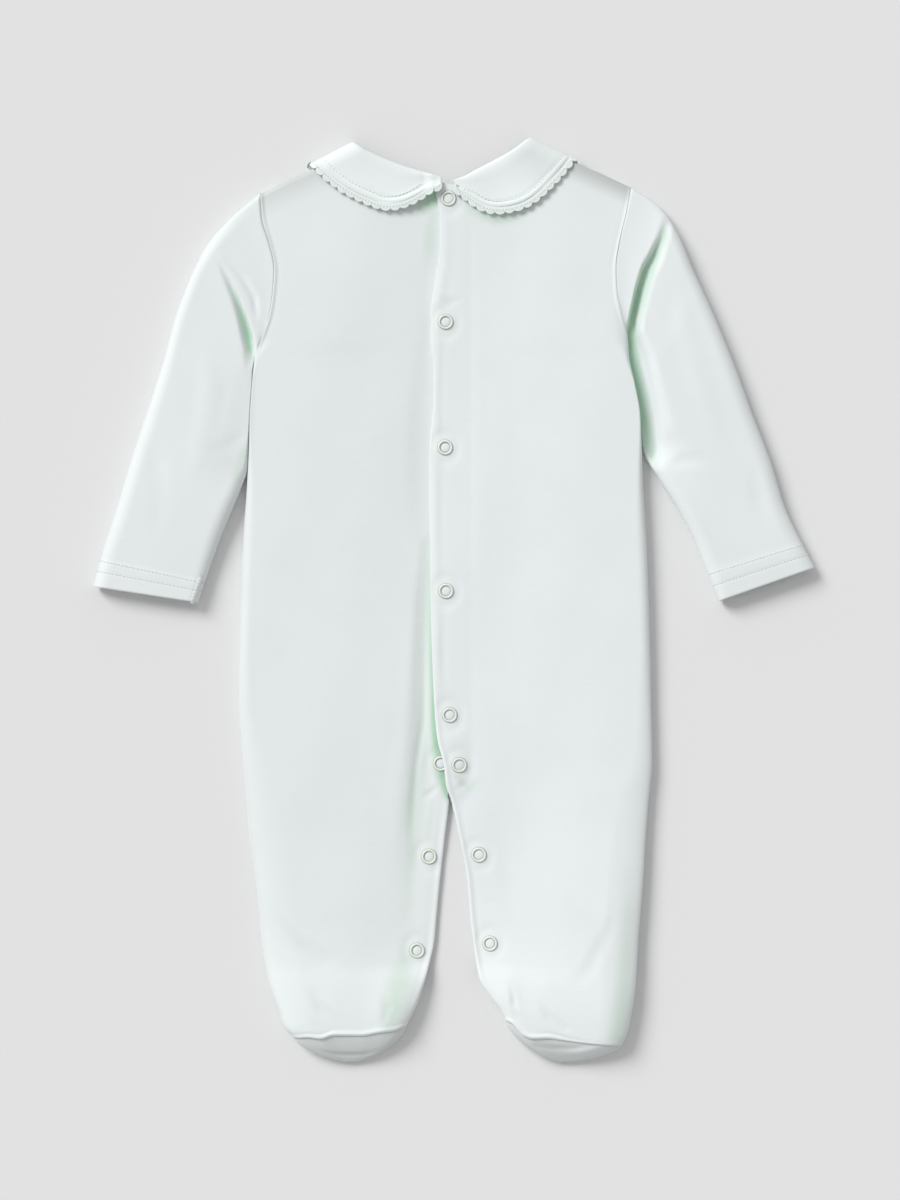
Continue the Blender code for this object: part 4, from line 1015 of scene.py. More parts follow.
def sleeve_points(across, row, half, under=False):
    """Outer surface of a sleeve; across runs from its outer (0) to its inner fold."""
    rows = SLEEVES[half]
    ox, oy, ix, iy, loft, lip, roll = (
        read(rows, name, row) for name in rows if name != "row")
    ax, ay = armhole(across, half)
    from_x, from_y, to_x, to_y = (rows[name][0] for name in ("outer_x", "outer_y", "inner_x", "inner_y"))
    keep = 1 - ease(row / ARMHOLE_FADE)
    x = mix(ox, ix, across) + (ax + ARMHOLE_GAP * half - mix(from_x, to_x, across)) * keep
    y = mix(oy, iy, across) + (ay - mix(from_y, to_y, across)) * keep
    width = np.hypot(ox - ix, oy - iy)
    from_inner = (1 - across) * width
    narrow = UNDER_ROLL if under else 1.0
    height = mix(lip, loft, ease((from_inner - roll) / LIP_RISE))
    folded = (rounding(across * width / (OUTER_ROLL * narrow))
              * rounding(from_inner / (roll * narrow)))
    seam_form = lower_height if under else upper_height
    seam = seam_form(ax, ay, half)
    seam_middle = (upper_height(ax, ay, half) + lower_height(ax, ay, half)) / 2
    seam = mix(seam_middle, seam, rounding(from_inner / SEAM_END))
    joined = ease(row / SEAM_FADE)
    hem = hem_relief(across, row, half)
    if under:
        z = mix(seam, height / 2 * (1 - folded), joined)
        slip = CUFF_SLIP[half] * np.sin(math.pi * across) ** 2 * ease(row - SLEEVE_ROWS + 1)
        z = z + np.maximum(-hem, 0) * folded
        # painted shade where the lower layer shows past the hem
        shown = UNDER_SHADE * fade(slip, SLIP_SHADED)
        return np.stack([x + slip * SLIP_SIDEWAYS * half, y - slip, z + slip * SLIP_RISE, shown], -1)
    z = mix(seam, height / 2 * (1 + folded), joined)
    sunk = fold_depth(x, y, SLEEVE_FOLDS[half]) * rounding(across * width / OUTER_ROLL)
    floor = height / 2 + (2 * WALL + INSIDE_GAP - height / 2) * folded
    z = np.maximum(z - sunk, np.minimum(z, floor))
    # Painted shade: green along the shade lines and the armhole seam, grey on the left sleeve's outer
    # fold.
    painted_shade = fold_depth(x, y, SLEEVE_SHADES[half]) + ARMHOLE_LINE[half] * (1 - ease(row / LINE_WIDTH))
    painted_shade = painted_shade - OUTER_SHADE[half] * bell(across * width, SIDE_WIDTH)
    z = z + (hem + swell(x, y) * joined) * folded
    return np.stack(np.broadcast_arrays(x, y, z, painted_shade), -1)


def sleeve_grid(half):
    """Closed rings from the armhole to the hem: over the top, back underneath."""
    to_hem, in_hem = SLEEVE_STEPS
    row = np.concatenate([np.linspace(0, SLEEVE_ROWS - 1, to_hem, endpoint=False),
                          np.linspace(SLEEVE_ROWS - 1, SLEEVE_ROWS, in_hem + 1)])[:, None]
    across = np.insert(spread(OVER_COLUMNS), -1, 1 - BESIDE_SEAM)[None, :]
    over = sleeve_points(across, row, half)
    under = sleeve_points(spread(UNDER_COLUMNS)[None, ::-1], row, half, under=True)
    return np.concatenate([over, under[:, 1:-1]], axis=1)


for half, side in HALVES:
    cloth("sleeve_" + side, [(sleeve_grid(half), half == RIGHT)], jersey, ring=True,
          clamp=SHARPEST_FOLD)


# ================================================================ Collar
# The collar is two rounded halves of doubled jersey, sewn into the neckline and turned
# down. Each rolls at the neck, wraps round its shoulder and goes on underneath to the
# centre front. A row of topstitching follows its edge.

COLLAR_FOLD_BACK = {
    LEFT: "x y  -7.6 253.2  -15.3 255.9  -29.4 260.1  -45.9 266.7  -58 273",
    RIGHT: "x y  -1.5 251.6  5.7 254.1  11.5 257.4  22.5 263.1  37.2 271.8  42.5 275.6",
}
COLLAR_EDGE_BACK = {
    LEFT: """x y  -7 249.4  -9.8 245.8  -14.8 242.6  -23.4 237.2  -33.3 233.6
             -43.2 233.2  -53.1 236.6  -67.2 243.6  -77.1 251""",
    RIGHT: """x y  0 248.1  1.4 244.8  3.9 241.4  11.4 235.3  17.5 232.2  24.9 230.9
              35.1 231.9  45.3 235.6  53.7 241.6  62.1 250.1""",
}
COLLAR_FOLD_FRONT = {
    LEFT: "x y  -55.5 257  -48.5 245.5  -36.5 235  -22 227.6  -10.5 225",
    RIGHT: "x y  39.5 257  32.5 245.5  20.5 235  6 227.6  -5.5 225",
}
COLLAR_EDGE_FRONT = {
    LEFT: """x y  -80.5 236  -71.5 217  -56 202  -38 193  -22 192
             -13 198  -9.8 210  -9.5 221""",
    RIGHT: """x y  64.5 236  55.5 217  40 202  22 193  6 192
              -3 198  -6.2 210  -6.5 221""",
}
SHOULDER_FOLD = {         # silhouette of the folded collar on each shoulder
    LEFT: ((-61.1, 275.3), (-89.1, 260.7)),
    RIGHT: ((45.3, 278.1), (74.3, 264.0)),
}
COLLAR_ROLL = 9.0         # depth of the collar's fold round the shoulder
COLLAR_FOLD_HEIGHT = 4.8  # half the height of that fold
COLLAR_ARC = (0.33, 0.58)    # shares of the collar's length that go round the fold
COLLAR_PUFF = table("""
    across puff  0 -0.84  0.05 0.98  0.16 1.4  0.4 0.84  0.7 0.28  1 0""")
COLLAR_LIFTS = {          # how far the collar's edge stands off the back
    LEFT: table("share lift  0 1.2  0.05 1.8  0.12 1.3  0.2 0.5  0.3 0.1  0.4 0  1 0"),
    RIGHT: table("share lift  0 0.2  0.08 0.1  0.14 0.4  0.2 0.9  0.27 0.9  0.32 0.2  0.4 0  1 0"),
}
COLLAR_END = 0.1          # share of the length over which this dies out at the ends
OVER_PLACKET = (-19.0, -13.0)   # there the left half climbs over the right back's edge
COLLAR_REST = LAP + 0.4   # height of the collar's outer face over the back's
TRIM_WIDTH = 4.8
TRIM_END = (0.3, 0.05)    # width at the ends, and the share of the length that narrows
COLLAR_ROWS = (60, 96, 70)   # steps along: on the back, round the shoulder, underneath
COLLAR_COLUMNS = 34
COLLAR_RIM = (0.06, 0.9)  # depth and width of the edge's rounding, down to the edging's tape
STITCH_GROOVE = (0.40, 0.8)   # depth and width of the topstitching's groove
PADDING = (0.30, 1.4)     # height and width of the roll between it and the edge
COLLAR_WAVES = (0.14, 34.0, (14.0, 2.0))   # height, pace and reach of waves along the edge
DOUBLED_PALE = (0.860, 0.912, 0.908, 1.0)    # two layers look paler than one
DOUBLED_DEEP = (0.815, 0.878, 0.870, 1.0)
COLLAR_SHADE = (0.10, 0.7)   # painted shade makes the topstitching's groove a little greener, this wide
FOLD_SHADE = {LEFT: (0.10, 0.08), RIGHT: (0.06, 0.24)}   # painted shade: greyer at the neck fold and round the shoulder
FOLD_SHARES = (0.20, 0.34)   # the latter begins between these
NECK_REACH = 4.5          # the former dies out over this
TOPSTITCH = {LEFT: 4.0, RIGHT: 3.4}   # distance of the topstitching from the collar's edge


def path(points, share):
    """Points at the given shares of the length of a smooth curve through points."""
    points = np.asarray(points)
    reach = np.concatenate([[0], np.cumsum(np.hypot(*np.diff(points, axis=0).T))])
    at = np.asarray(share) * reach[-1]
    slopes = np.gradient(points, reach, axis=0)
    return np.stack([smooth_curve(at, reach, points[:, k], slopes[:, k]) for k in (0, 1)], -1)


class Fold:
    """The collar's fold round one shoulder, which wraps its flat pattern."""

    def __init__(self, half):
        start, end = (np.array(p) for p in SHOULDER_FOLD[half])
        self.half = half
        self.normal = np.array([start[1] - end[1], end[0] - start[0]])
        self.normal *= np.sign(self.normal[1]) / np.hypot(*self.normal)
        self.origin = start - self.normal * COLLAR_ROLL
        a, b = COLLAR_ROLL, COLLAR_FOLD_HEIGHT
        ellipse = math.pi * (3 * (a + b) - math.sqrt((3 * a + b) * (a + 3 * b)))
        self.arc = ellipse / 2

    def unfold(self, point):
        """Place in the flat pattern of a point that lies underneath."""
        point = np.asarray(point)
        past = (point - self.origin) @ self.normal
        return point + (self.arc - 2 * past)[..., None] * self.normal

    def wrap(self, point, above, below=0.0):
        """Flat pattern points to places round the shoulder, with their heights."""
        past = (point - self.origin) @ self.normal
        turn = np.clip(past / self.arc, 0, 1) * math.pi
        beyond = np.maximum(past - self.arc, 0)
        shift = COLLAR_ROLL * np.sin(turn) - np.maximum(past, 0) - beyond
        place = point + shift[..., None] * self.normal
        near = point - np.maximum(past, 0)[..., None] * self.normal
        top = crown(near[..., 0], near[..., 1], self.half) + above
        if self.half == LEFT:
            top = top + LAP * fade(near[..., 0], OVER_PLACKET)
        z = (top + below) / 2 + (top - below) / 2 * np.cos(turn)
        return np.concatenate([place, z[..., None]], -1)


def collar_lines(half, share):
    """Neck fold and outer edge of the flat pattern, as matching rows of points."""
    fold = Fold(half)
    neck = np.concatenate([pairs(COLLAR_FOLD_BACK[half]),
                           fold.unfold(pairs(COLLAR_FOLD_FRONT[half]))])
    edge = np.concatenate([pairs(COLLAR_EDGE_BACK[half]),
                           fold.unfold(pairs(COLLAR_EDGE_FRONT[half]))])
    return path(neck, share), path(edge, share)


def inward(line, half):
    """Unit vectors from the collar's edge towards its neck fold."""
    along = np.gradient(line, axis=0)
    along /= np.hypot(*along.T)[:, None]
    return np.stack([-along[:, 1], along[:, 0]], -1) * half


def trim_width(share):
    """Width of the picot edging, which narrows to nothing much at its ends."""
    from_end = np.minimum(share, 1 - share)
    narrowest, length = TRIM_END
    return TRIM_WIDTH * mix(narrowest, 1, ease(from_end / length))[:, None]


def collar_grid(half):
    """Rows from the centre back to the centre front, closer together at the fold."""
    (start, end), (on_back, round_fold, underneath) = COLLAR_ARC, COLLAR_ROWS
    rows = np.concatenate([np.linspace(0, start, on_back), np.linspace(start, end, round_fold)[1:-1],
                           np.linspace(end, 1, underneath)])
    neck, edge = collar_lines(half, rows)
    edge = edge + inward(edge, half) * trim_width(rows)
    shares = spread(COLLAR_COLUMNS)
    flat = mix(neck[:, None], edge[:, None], shares[None, :, None])
    ends = ease(np.minimum(rows, 1 - rows) / COLLAR_END)[:, None]
    depth = np.hypot(*np.moveaxis(edge - neck, -1, 0))[:, None]
    from_edge = (1 - shares[None, :]) * depth
    groove, padding = from_edge - TOPSTITCH[half], from_edge - TOPSTITCH[half] / 2
    stitched = STITCH_GROOVE[0] * bell(groove, STITCH_GROOVE[1])
    padding = PADDING[0] * bell(padding, PADDING[1])
    high, pace, reach = COLLAR_WAVES
    waves = high * np.sin(rows * pace + half)[:, None] * fade(from_edge, reach)
    rim = COLLAR_RIM[0] * (1 - np.clip(from_edge / COLLAR_RIM[1], 0, 1)) ** 2
    puff = read(COLLAR_PUFF, "puff", shares)[None, :] * ends
    lift = read(COLLAR_LIFTS[half], "lift", rows)[:, None] * shares[None, :] ** 2
    above = COLLAR_REST + puff + lift + (padding - stitched + waves) * ends - rim
    # Painted shade: green in the topstitching's groove, grey along the neck fold and round the shoulder.
    at_neck, at_shoulder = FOLD_SHADE[half]
    painted_shade = (COLLAR_SHADE[0] * bell(groove, COLLAR_SHADE[1])
              - at_neck * bell(shares[None, :] * depth, NECK_REACH)
              - at_shoulder * fade(rows, FOLD_SHARES)[:, None])
    return np.concatenate([Fold(half).wrap(flat, above), painted_shade[..., None]], -1)


doubled_jersey = knit_finish("Doubled jersey", DOUBLED_PALE, DOUBLED_DEEP)

for half, side in HALVES:
    cloth("collar_" + side, [(collar_grid(half), half == RIGHT)], doubled_jersey)


# ================================================================ Picot edging
# A narrow knitted cotton tape follows each collar half's outer edge. Its looped picots,
# worked in one thick soft thread, stand out from it as a row of small rounded scallops.

PICOT_PITCH = 5.6
PICOT_REACH = 2.5         # length of a picot
PICOT_RISE = -0.26        # height of its middle over the collar's rest
PICOT_PAST = 0.15         # angle by which a picot goes past a half circle, at each end
PICOT_SPAN = (0.7, 0.015, 0.985)   # that over the surface underneath, and shares of the edge
CHAIN_PITCH = 1.9
CHAIN_INSET = 2.9         # the row of chain stitches, from the picots' ends
CHAIN_RISE = -0.16
CHAIN_SPAN = (0.45, 0.01, 0.99)
ROW_UNEVENNESS = {"picots": 0.07, "chain": 0.08, "stitches": 0.10}
ROW_SEED = {"picots": 3, "chain": 11, "cuff": 21, "collar": 31}
TAPE_EDGE = 1.15          # the tape ends this far from the picots' ends
TAPE_COLUMNS = 9
TAPE_TUCK = 0.3           # and runs this far under the collar's edge
TAPE_SINK = 0.10          # the tape lies this much lower than the collar's face
TAPE_ROUNDING = (0.25, 0.8)        # depth and width of its outer edge's rounding
TAPE_THICKNESS = 0.7
TAPE_CLEAR = 0.1          # between it and the surface, underneath
EDGING_PALE = (0.850, 0.890, 0.875, 1.0)
EDGING_DEEP = (0.740, 0.815, 0.785, 1.0)
EDGING_FIBRES = (2600.0, 0.00012)  # fibres to a metre, and their relief in metres
THREAD_PAINTED_SHADE = (0.300, 0.420, 0.340, 1.0)   # painted shade in the needle holes, under the picots and at the feet of loops and stitches
THREAD_TONE = (0.6, 0.6, 0.1)      # shares of fibres and patches in the tone, less this
FIBRE_STRETCH = 0.4
PATCHES = (160.0, 160.0, 160.0)
# the dark spots of painted shade at the needle holes: their shade, sides and taper
HOLE_SHADE = 0.12
HOLE_SIDES = 6
HOLE_TAPER = 0.8
EDGING_SAMPLES = 420
EDGE_STEP = 0.5           # distance between the points that give what is outward


def thread_finish(name, pale, deep, scale, depth):
    """Soft cotton thread: fine fibres, a little fuzz, uneven tone and painted shade."""
    finish = Finish(name, Roughness=0.9, Sheen_Weight=0.15, Sheen_Roughness=0.5,
                    Specular_IOR_Level=0.25)
    place = finish.object_place()
    along_fibres = finish.stretched(place, (scale, scale * FIBRE_STRETCH, scale))
    fibres = finish.noise(along_fibres, 1.0, 3.0, 0.6)
    patches = finish.noise(finish.stretched(place, PATCHES), 1.0)
    # painted shade that the pieces carry on their points
    painted_shade = finish.painted_shade()
    tone = fibres * THREAD_TONE[0] + patches * THREAD_TONE[1] - THREAD_TONE[2]
    finish.feed("Base Color", finish.blend(finish.blend(pale, deep, tone), THREAD_PAINTED_SHADE, painted_shade))
    finish.relief(fibres, depth)
    return finish.material


def edge_lift(half, shares):
    """How far the collar's edge stands off the back along its length."""
    return read(COLLAR_LIFTS[half], "lift", shares)


def upward(points, sideways, half):
    """Unit vectors at right angles to a line of points and to what is beside it."""
    up = np.cross(sideways, np.gradient(points, axis=0)) * half
    return up / np.linalg.norm(up, axis=1)[:, None]


def edge_frames(half, inset, rise, below, start, end):
    """Points along a collar's edge at a distance inside it, with what is up and outward.

    rise is their height over the collar's rest, and below the one over the surface
    underneath.
    """
    shares = np.linspace(start, end, EDGING_SAMPLES)
    above = COLLAR_REST + edge_lift(half, shares) + rise
    edge = collar_lines(half, shares)[1]
    towards_neck = inward(edge, half)
    distance = inset * trim_width(shares) / TRIM_WIDTH
    fold = Fold(half)
    points = fold.wrap(edge + towards_neck * distance, above, below)
    outward = fold.wrap(edge + towards_neck * (distance - EDGE_STEP), above, below) - points
    return points, upward(points, outward, half), outward


def path_mesh(name, points, up, outward):
    """A line of edges that carries the directions of what is set along it."""
    data = bpy.data.meshes.new(name)
    data.from_pydata(points * MM, [(i, i + 1) for i in range(len(points) - 1)], [])
    for label, values in (("up", up), ("outward", outward)):
        attribute = data.attributes.new(label, "FLOAT_VECTOR", "POINT")
        attribute.data.foreach_set("vector", values.astype(np.float32).ravel())
    return data


def repeat_tree():
    """Nodes that set a small shape along a path at a spacing, each a little uneven."""
    tree = bpy.data.node_groups.new("Repeat along a path", "GeometryNodeTree")
    node = Nodes(tree).node
    asked = (("Path", "Geometry"), ("Shape", "Object"), ("Spacing", "Float"),
             ("Unevenness", "Float"), ("Seed", "Int"), ("Finish", "Material"))
    for name, kind in asked:
        tree.interface.new_socket(name, in_out="INPUT", socket_type="NodeSocket" + kind)
    tree.interface.new_socket("Row", in_out="OUTPUT", socket_type="NodeSocketGeometry")
    given = {name: node("NodeGroupInput", output=name) for name, _ in asked}
    curve = node("GeometryNodeMeshToCurve", inputs={"Mesh": given["Path"]})
    points = node("GeometryNodeResampleCurve", {"mode": "LENGTH"},
                  {"Curve": curve, "Length": given["Spacing"]})
    up, outward = (node("GeometryNodeInputNamedAttribute", {"data_type": "FLOAT_VECTOR"},
                        {"Name": label}) for label in ("up", "outward"))
    turn = node("FunctionNodeAxesToRotation", {"primary_axis": "Z", "secondary_axis": "Y"},
                {"Primary Axis": up, "Secondary Axis": outward})
    shape = node("GeometryNodeObjectInfo", inputs={"Object": given["Shape"]}, output="Geometry")
    least, most = (node("ShaderNodeMath", {"operation": operation},
                        {0: 1.0, 1: given["Unevenness"]}) for operation in ("SUBTRACT", "ADD"))
    size = node("FunctionNodeRandomValue", {"data_type": "FLOAT_VECTOR"},
                {0: least, 1: most, "Seed": given["Seed"]})
    row = node("GeometryNodeInstanceOnPoints", inputs={
        "Points": points, "Instance": shape, "Rotation": turn, "Scale": size})
    real = node("GeometryNodeRealizeInstances", inputs={"Geometry": row})
    painted = node("GeometryNodeSetMaterial", inputs={
        "Geometry": real, "Material": given["Finish"]})
    node("NodeGroupOutput", inputs={"Row": painted})
    return tree


repeat = repeat_tree()


def evaluated(made):
    """A new mesh of an object with its modifiers applied; the object goes."""
    data = bpy.data.meshes.new_from_object(
        made.evaluated_get(bpy.context.evaluated_depsgraph_get()))
    bpy.data.objects.remove(made)
    return data


def repeated(frames, shape, spacing, unevenness, seed, look):
    """A plain mesh of a shape set along a path."""
    guide = new_object("guide", path_mesh("guide", *frames))
    row = guide.modifiers.new("Row", "NODES")
    row.node_group = repeat
    given = {"Shape": shape, "Spacing": spacing * MM, "Unevenness": unevenness, "Seed": seed,
             "Finish": look}
    for socket in repeat.interface.items_tree:
        if socket.name in given:
            row[socket.identifier] = given[socket.name]
    made = evaluated(guide)
    made.shade_smooth()
    return made


def ring_points(mesh, wide, deep, high, turn):
    """Corners of an oval ring, or one corner for all of them where it has no width."""
    if wide == 0:
        return [mesh.verts.new(Vector((0, 0, high)) * MM)] * len(turn)
    return [mesh.verts.new(Vector((wide * math.cos(a), deep * math.sin(a), high)) * MM) for a in turn]


def ring_faces(mesh, loops, closed=False):
    """Faces between rings of corners; closed joins the last ring to the first."""
    made = []
    for lower, upper in zip(loops, loops[1:] + loops[:1] * closed):
        for j in range(len(lower)):
            k = (j + 1) % len(lower)
            corners = dict.fromkeys([lower[j], lower[k], upper[k], upper[j]])
            made.append(mesh.faces.new(list(corners)))
    return made


def pattern_shape(name, rings, sides, start=0.0, end=2 * math.pi, hole=None):
    """A small closed form from rings (half width, reach, height, painted shade) round its middle.

    The rings run from start to end. hole is the place along the form, the radius and the
    height of a spot of painted shade beside it, for a needle hole.
    """
    mesh = bmesh.new()
    shade = mesh.verts.layers.float.new(SHADE_ATTRIBUTE)
    turn = np.linspace(start, end, sides, endpoint=start != 0.0)
    loops = []
    for wide, deep, high, painted_shade in rings:
        loops.append(ring_points(mesh, wide, deep, high, turn))
        for vertex in loops[-1]:
            vertex[shade] = painted_shade
    ring_faces(mesh, loops)
    mesh.faces.new(loops[0][::-1])
    mesh.faces.new(loops[-1])
    if hole:
        along, radius, depth = hole
        spot = bmesh.ops.create_cone(
            mesh, cap_ends=True, segments=HOLE_SIDES, radius1=radius * MM,
            radius2=radius * HOLE_TAPER * MM, depth=depth * MM,
            matrix=Matrix.Translation((along * MM, 0, 0)))
        for vertex in spot["verts"]:
            vertex[shade] = HOLE_SHADE
    bmesh.ops.recalc_face_normals(mesh, faces=mesh.faces)
    return new_object(name, mesh_data(name, mesh))


def joined(name, meshes, look):
    """One piece from several meshes."""
    mesh = bmesh.new()
    for data in meshes:
        mesh.from_mesh(data)
    data = mesh_data(name, mesh)
    data.materials.clear()   # every face takes the one look
    data.shade_smooth()
    return place(name, data, look)


edging = thread_finish("Picot cotton", EDGING_PALE, EDGING_DEEP, *EDGING_FIBRES)

half_pitch = PICOT_PITCH / 2
# The last value of each ring is painted shade: on the low rings, where the loops meet the tape, and in
# the loops' middles.
scallop = pattern_shape("scallop", [
    (half_pitch * 0.94, PICOT_REACH * 0.84, -0.60, 0.8),
    (half_pitch * 1.10, PICOT_REACH * 0.98, -0.22, 0.4),
    (half_pitch * 1.12, PICOT_REACH * 1.00, 0.10, 0.0),
    (half_pitch * 0.98, PICOT_REACH * 0.86, 0.28, 0.0),
    (half_pitch * 0.74, PICOT_REACH * 0.64, 0.22, 0.05),
    (half_pitch * 0.50, PICOT_REACH * 0.42, 0.18, 0.10),
    (half_pitch * 0.26, PICOT_REACH * 0.22, 0.26, 0.0),
], sides=11, start=-PICOT_PAST, end=math.pi + PICOT_PAST)
chain = pattern_shape("chain", [
    (CHAIN_PITCH * 0.42, 0.50, -0.20, 0.3),
    (CHAIN_PITCH * 0.50, 0.62, 0.10, 0.1),
    (CHAIN_PITCH * 0.34, 0.42, 0.26, 0.0),
    (CHAIN_PITCH * 0.12, 0.16, 0.18, 0.3),
], sides=8)

for number, (half, side) in enumerate(HALVES):
    shares = np.linspace(0, 1, EDGING_SAMPLES // 2)
    edge = collar_lines(half, shares)[1]
    towards_neck = inward(edge, half)
    width = trim_width(shares)
    places = np.linspace(TRIM_WIDTH + TAPE_TUCK, TAPE_EDGE, TAPE_COLUMNS)
    flat = np.stack([edge + towards_neck * width * at / TRIM_WIDTH for at in places], 1)
    drop, reach = TAPE_ROUNDING
    round_off = drop * (1 - np.clip((places - TAPE_EDGE) / reach, 0, 1)) ** 2
    rise = COLLAR_REST + edge_lift(half, shares)[:, None] - TAPE_SINK - round_off
    tape = Fold(half).wrap(flat, rise, TAPE_THICKNESS + TAPE_CLEAR)
    tape = place("tape", sheet_mesh("tape", [(tape, half == RIGHT)]), edging)
    thicken(tape, TAPE_THICKNESS)
    picots = repeated(edge_frames(half, PICOT_REACH, PICOT_RISE, *PICOT_SPAN), scallop,
                      PICOT_PITCH, ROW_UNEVENNESS["picots"], ROW_SEED["picots"] + number, edging)
    chains = repeated(edge_frames(half, CHAIN_INSET, CHAIN_RISE, *CHAIN_SPAN), chain,
                      CHAIN_PITCH, ROW_UNEVENNESS["chain"], ROW_SEED["chain"] + number, edging)
    trim = joined("trim_" + side + "_picots", [evaluated(tape), picots, chains], edging)
    finished(trim, "trim_" + side)
bpy.data.objects.remove(scallop)
bpy.data.objects.remove(chain)


# ================================================================ Topstitching
# Cotton thread: one row of lockstitches round each collar half, and two rows round each
# cuff where a twin needle holds the turned-up hem. Each stitch stands a little proud.

STITCH_PITCH = 2.3
STITCH_SIZE = (0.72, 0.36, 0.34)     # half length, half width and height
# place, radius and height of each needle hole's spot of painted shade
NEEDLE_HOLE_SHADE = (STITCH_PITCH / 2, 0.32, 0.10)
THREAD_PALE = (0.865, 0.890, 0.885, 1.0)
THREAD_DEEP = (0.790, 0.830, 0.820, 1.0)
THREAD_FIBRES = (4200.0, 0.00005)
STITCHED = {LEFT: (0.05, 0.98), RIGHT: (0.02, 0.98)}   # topstitched shares of the collar's length
STITCH_RISE = 0.02        # the thread's middle lies this far above the cloth's face
CUFF_SAMPLES = 90
TOWARDS_HEM = 0.4         # distance between the points that give what is outward
SEAM_LENGTH = 16.5        # the end of the left underarm seam, turned to the hem's outside
SEAM_WIDTH = 2.5
SEAM_STEPS = 44
SEAM_SIDES = 12
SEAM_BUMPS = (2.2, 0.13)  # length of one overlock stitch along it, and how far it swells
SEAM_TAPER = 0.75         # size of its two ends
SEAM_LIFT = 0.1
# painted shade on the sides of that roll
SEAM_SHADE = 0.35
SEAM_PAST = 1.1           # it stands this far past the hem


def off_surface(points):
    """The same points, raised where a stitch there would reach into the surface."""
    along = np.gradient(points, axis=0)
    steep = np.abs(along[:, 2]) / np.linalg.norm(along, axis=1)
    lowest = STITCH_SIZE[2] + STITCH_SIZE[0] * steep
    return np.stack([points[:, 0], points[:, 1], np.maximum(points[:, 2], lowest)], -1)


def cuff_loop(half, line, step=0.0):
    """Points round a cuff at one row of its twin seam, or a step nearer to the hem."""
    near, far = HEM_LINES[half][line]
    sides = []
    for across, under in ((spread(CUFF_SAMPLES), False), (spread(CUFF_SAMPLES)[::-1], True)):
        row = SLEEVE_ROWS - (mix(near, far, across) - step) / HEM_SCALE[half]
        sides.append(sleeve_points(across, row, half, under)[:, :3])
    return np.concatenate([sides[0][:-1], sides[1]])


def cuff_frames(half, line):
    """The same points with what is up and outward."""
    points = cuff_loop(half, line)
    outward = cuff_loop(half, line, TOWARDS_HEM) - points
    up = upward(points, outward, half)
    return off_surface(points + up * STITCH_RISE), up, outward


def laid_on(piece, frames):
    """A line moved to the nearest points of a piece's outer face, with what is up there."""
    mesh = piece.data
    face = BVHTree.FromPolygons([v.co for v in mesh.vertices], [p.vertices for p in mesh.polygons])
    points, up, outward = frames
    found = [face.find_nearest(Vector(point) * MM) for point in points]
    nearest = np.array([place for place, _, _, _ in found]) / MM
    normals = np.array([normal for _, normal, _, _ in found])
    normals = normals * np.sign((normals * up).sum(1))[:, None]
    return off_surface(nearest + normals * STITCH_RISE), normals, outward


def cuff_seam(half):
    """End of the underarm seam, a flattened roll sewn down across the hem."""
    place_across, height = UNDERARM_SEAM[half]
    row = np.linspace(SLEEVE_ROWS - SEAM_LENGTH / HEM_SCALE[half], SLEEVE_ROWS, SEAM_STEPS)
    length, swelling = SEAM_BUMPS
    bumps = 1 + swelling * np.sin(row * HEM_SCALE[half] * 2 * math.pi / length)
    half_width = SEAM_WIDTH / 2 * bumps
    wide = np.hypot(*(sleeve_points(1.0, row, half) - sleeve_points(0.0, row, half))[:, :2].T)
    centre = sleeve_points(place_across, row, half)[:, :3]
    side = sleeve_points(place_across + half_width / wide, row, half)[:, :3] - centre
    along = np.gradient(centre, axis=0)
    up = upward(centre, side, half)
    centre[-1] += SEAM_PAST * along[-1] / np.linalg.norm(along[-1])
    turn = np.linspace(0, 2 * math.pi, SEAM_SIDES, endpoint=False)
    size = np.where((row == row[0]) | (row == row[-1]), SEAM_TAPER, 1.0)[:, None, None]
    thick = np.sin(turn)[:, None] * height * size * bumps[:, None, None] + SEAM_LIFT
    roll = centre[:, None] + side[:, None] * np.cos(turn)[:, None] * size + up[:, None] * thick
    # painted shade on the roll's sides, where it meets the cloth
    shade = SEAM_SHADE * np.abs(np.cos(turn)) ** 4 + np.zeros((SEAM_STEPS, 1))
    return np.concatenate([roll, shade[..., None]], -1)


thread = thread_finish("Sewing thread", THREAD_PALE, THREAD_DEEP, *THREAD_FIBRES)
length, breadth, height = STITCH_SIZE
# The last value of each ring is painted shade, at the stitch's foot.
stitch = pattern_shape("stitch", [
    (length * 0.90, breadth * 0.80, -0.20, 0.2),
    (length * 1.00, breadth * 1.00, 0.02, 0.05),
    (length * 0.80, breadth * 0.74, height * 0.8, 0.0),
    (length * 0.40, breadth * 0.30, height, 0.0),
], sides=8, hole=NEEDLE_HOLE_SHADE)

for number, (half, side) in enumerate(HALVES):
    on_cuff = [(cuff_frames(half, line), ROW_SEED["cuff"] + 2 * number + line) for line in (0, 1)]
    edge = edge_frames(half, TRIM_WIDTH + TOPSTITCH[half], 0.0, height, *STITCHED[half])
    collar = bpy.data.objects[f"collar_{side}_cloth"]
    on_collar = [(laid_on(collar, edge), ROW_SEED["collar"] + number)]
    for name, lines in (("cuff", on_cuff), ("collar", on_collar)):
        rows = [repeated(line, stitch, STITCH_PITCH, ROW_UNEVENNESS["stitches"], seed, thread)
                for line, seed in lines]
        finished(joined(f"{name}_{side}_topstitching", rows, thread))
bpy.data.objects.remove(stitch)

roll = sheet_mesh("cuff_left_seam", [(cuff_seam(LEFT), False)], ring=True)
seam_end = finished(place("cuff_left_seam", roll, jersey))


# ================================================================ Press snaps
# Open ring snaps of painted metal: the ring's prongs go through the cloth, which shows
# as a small dome in the middle. Five close the placket and three each inner leg.

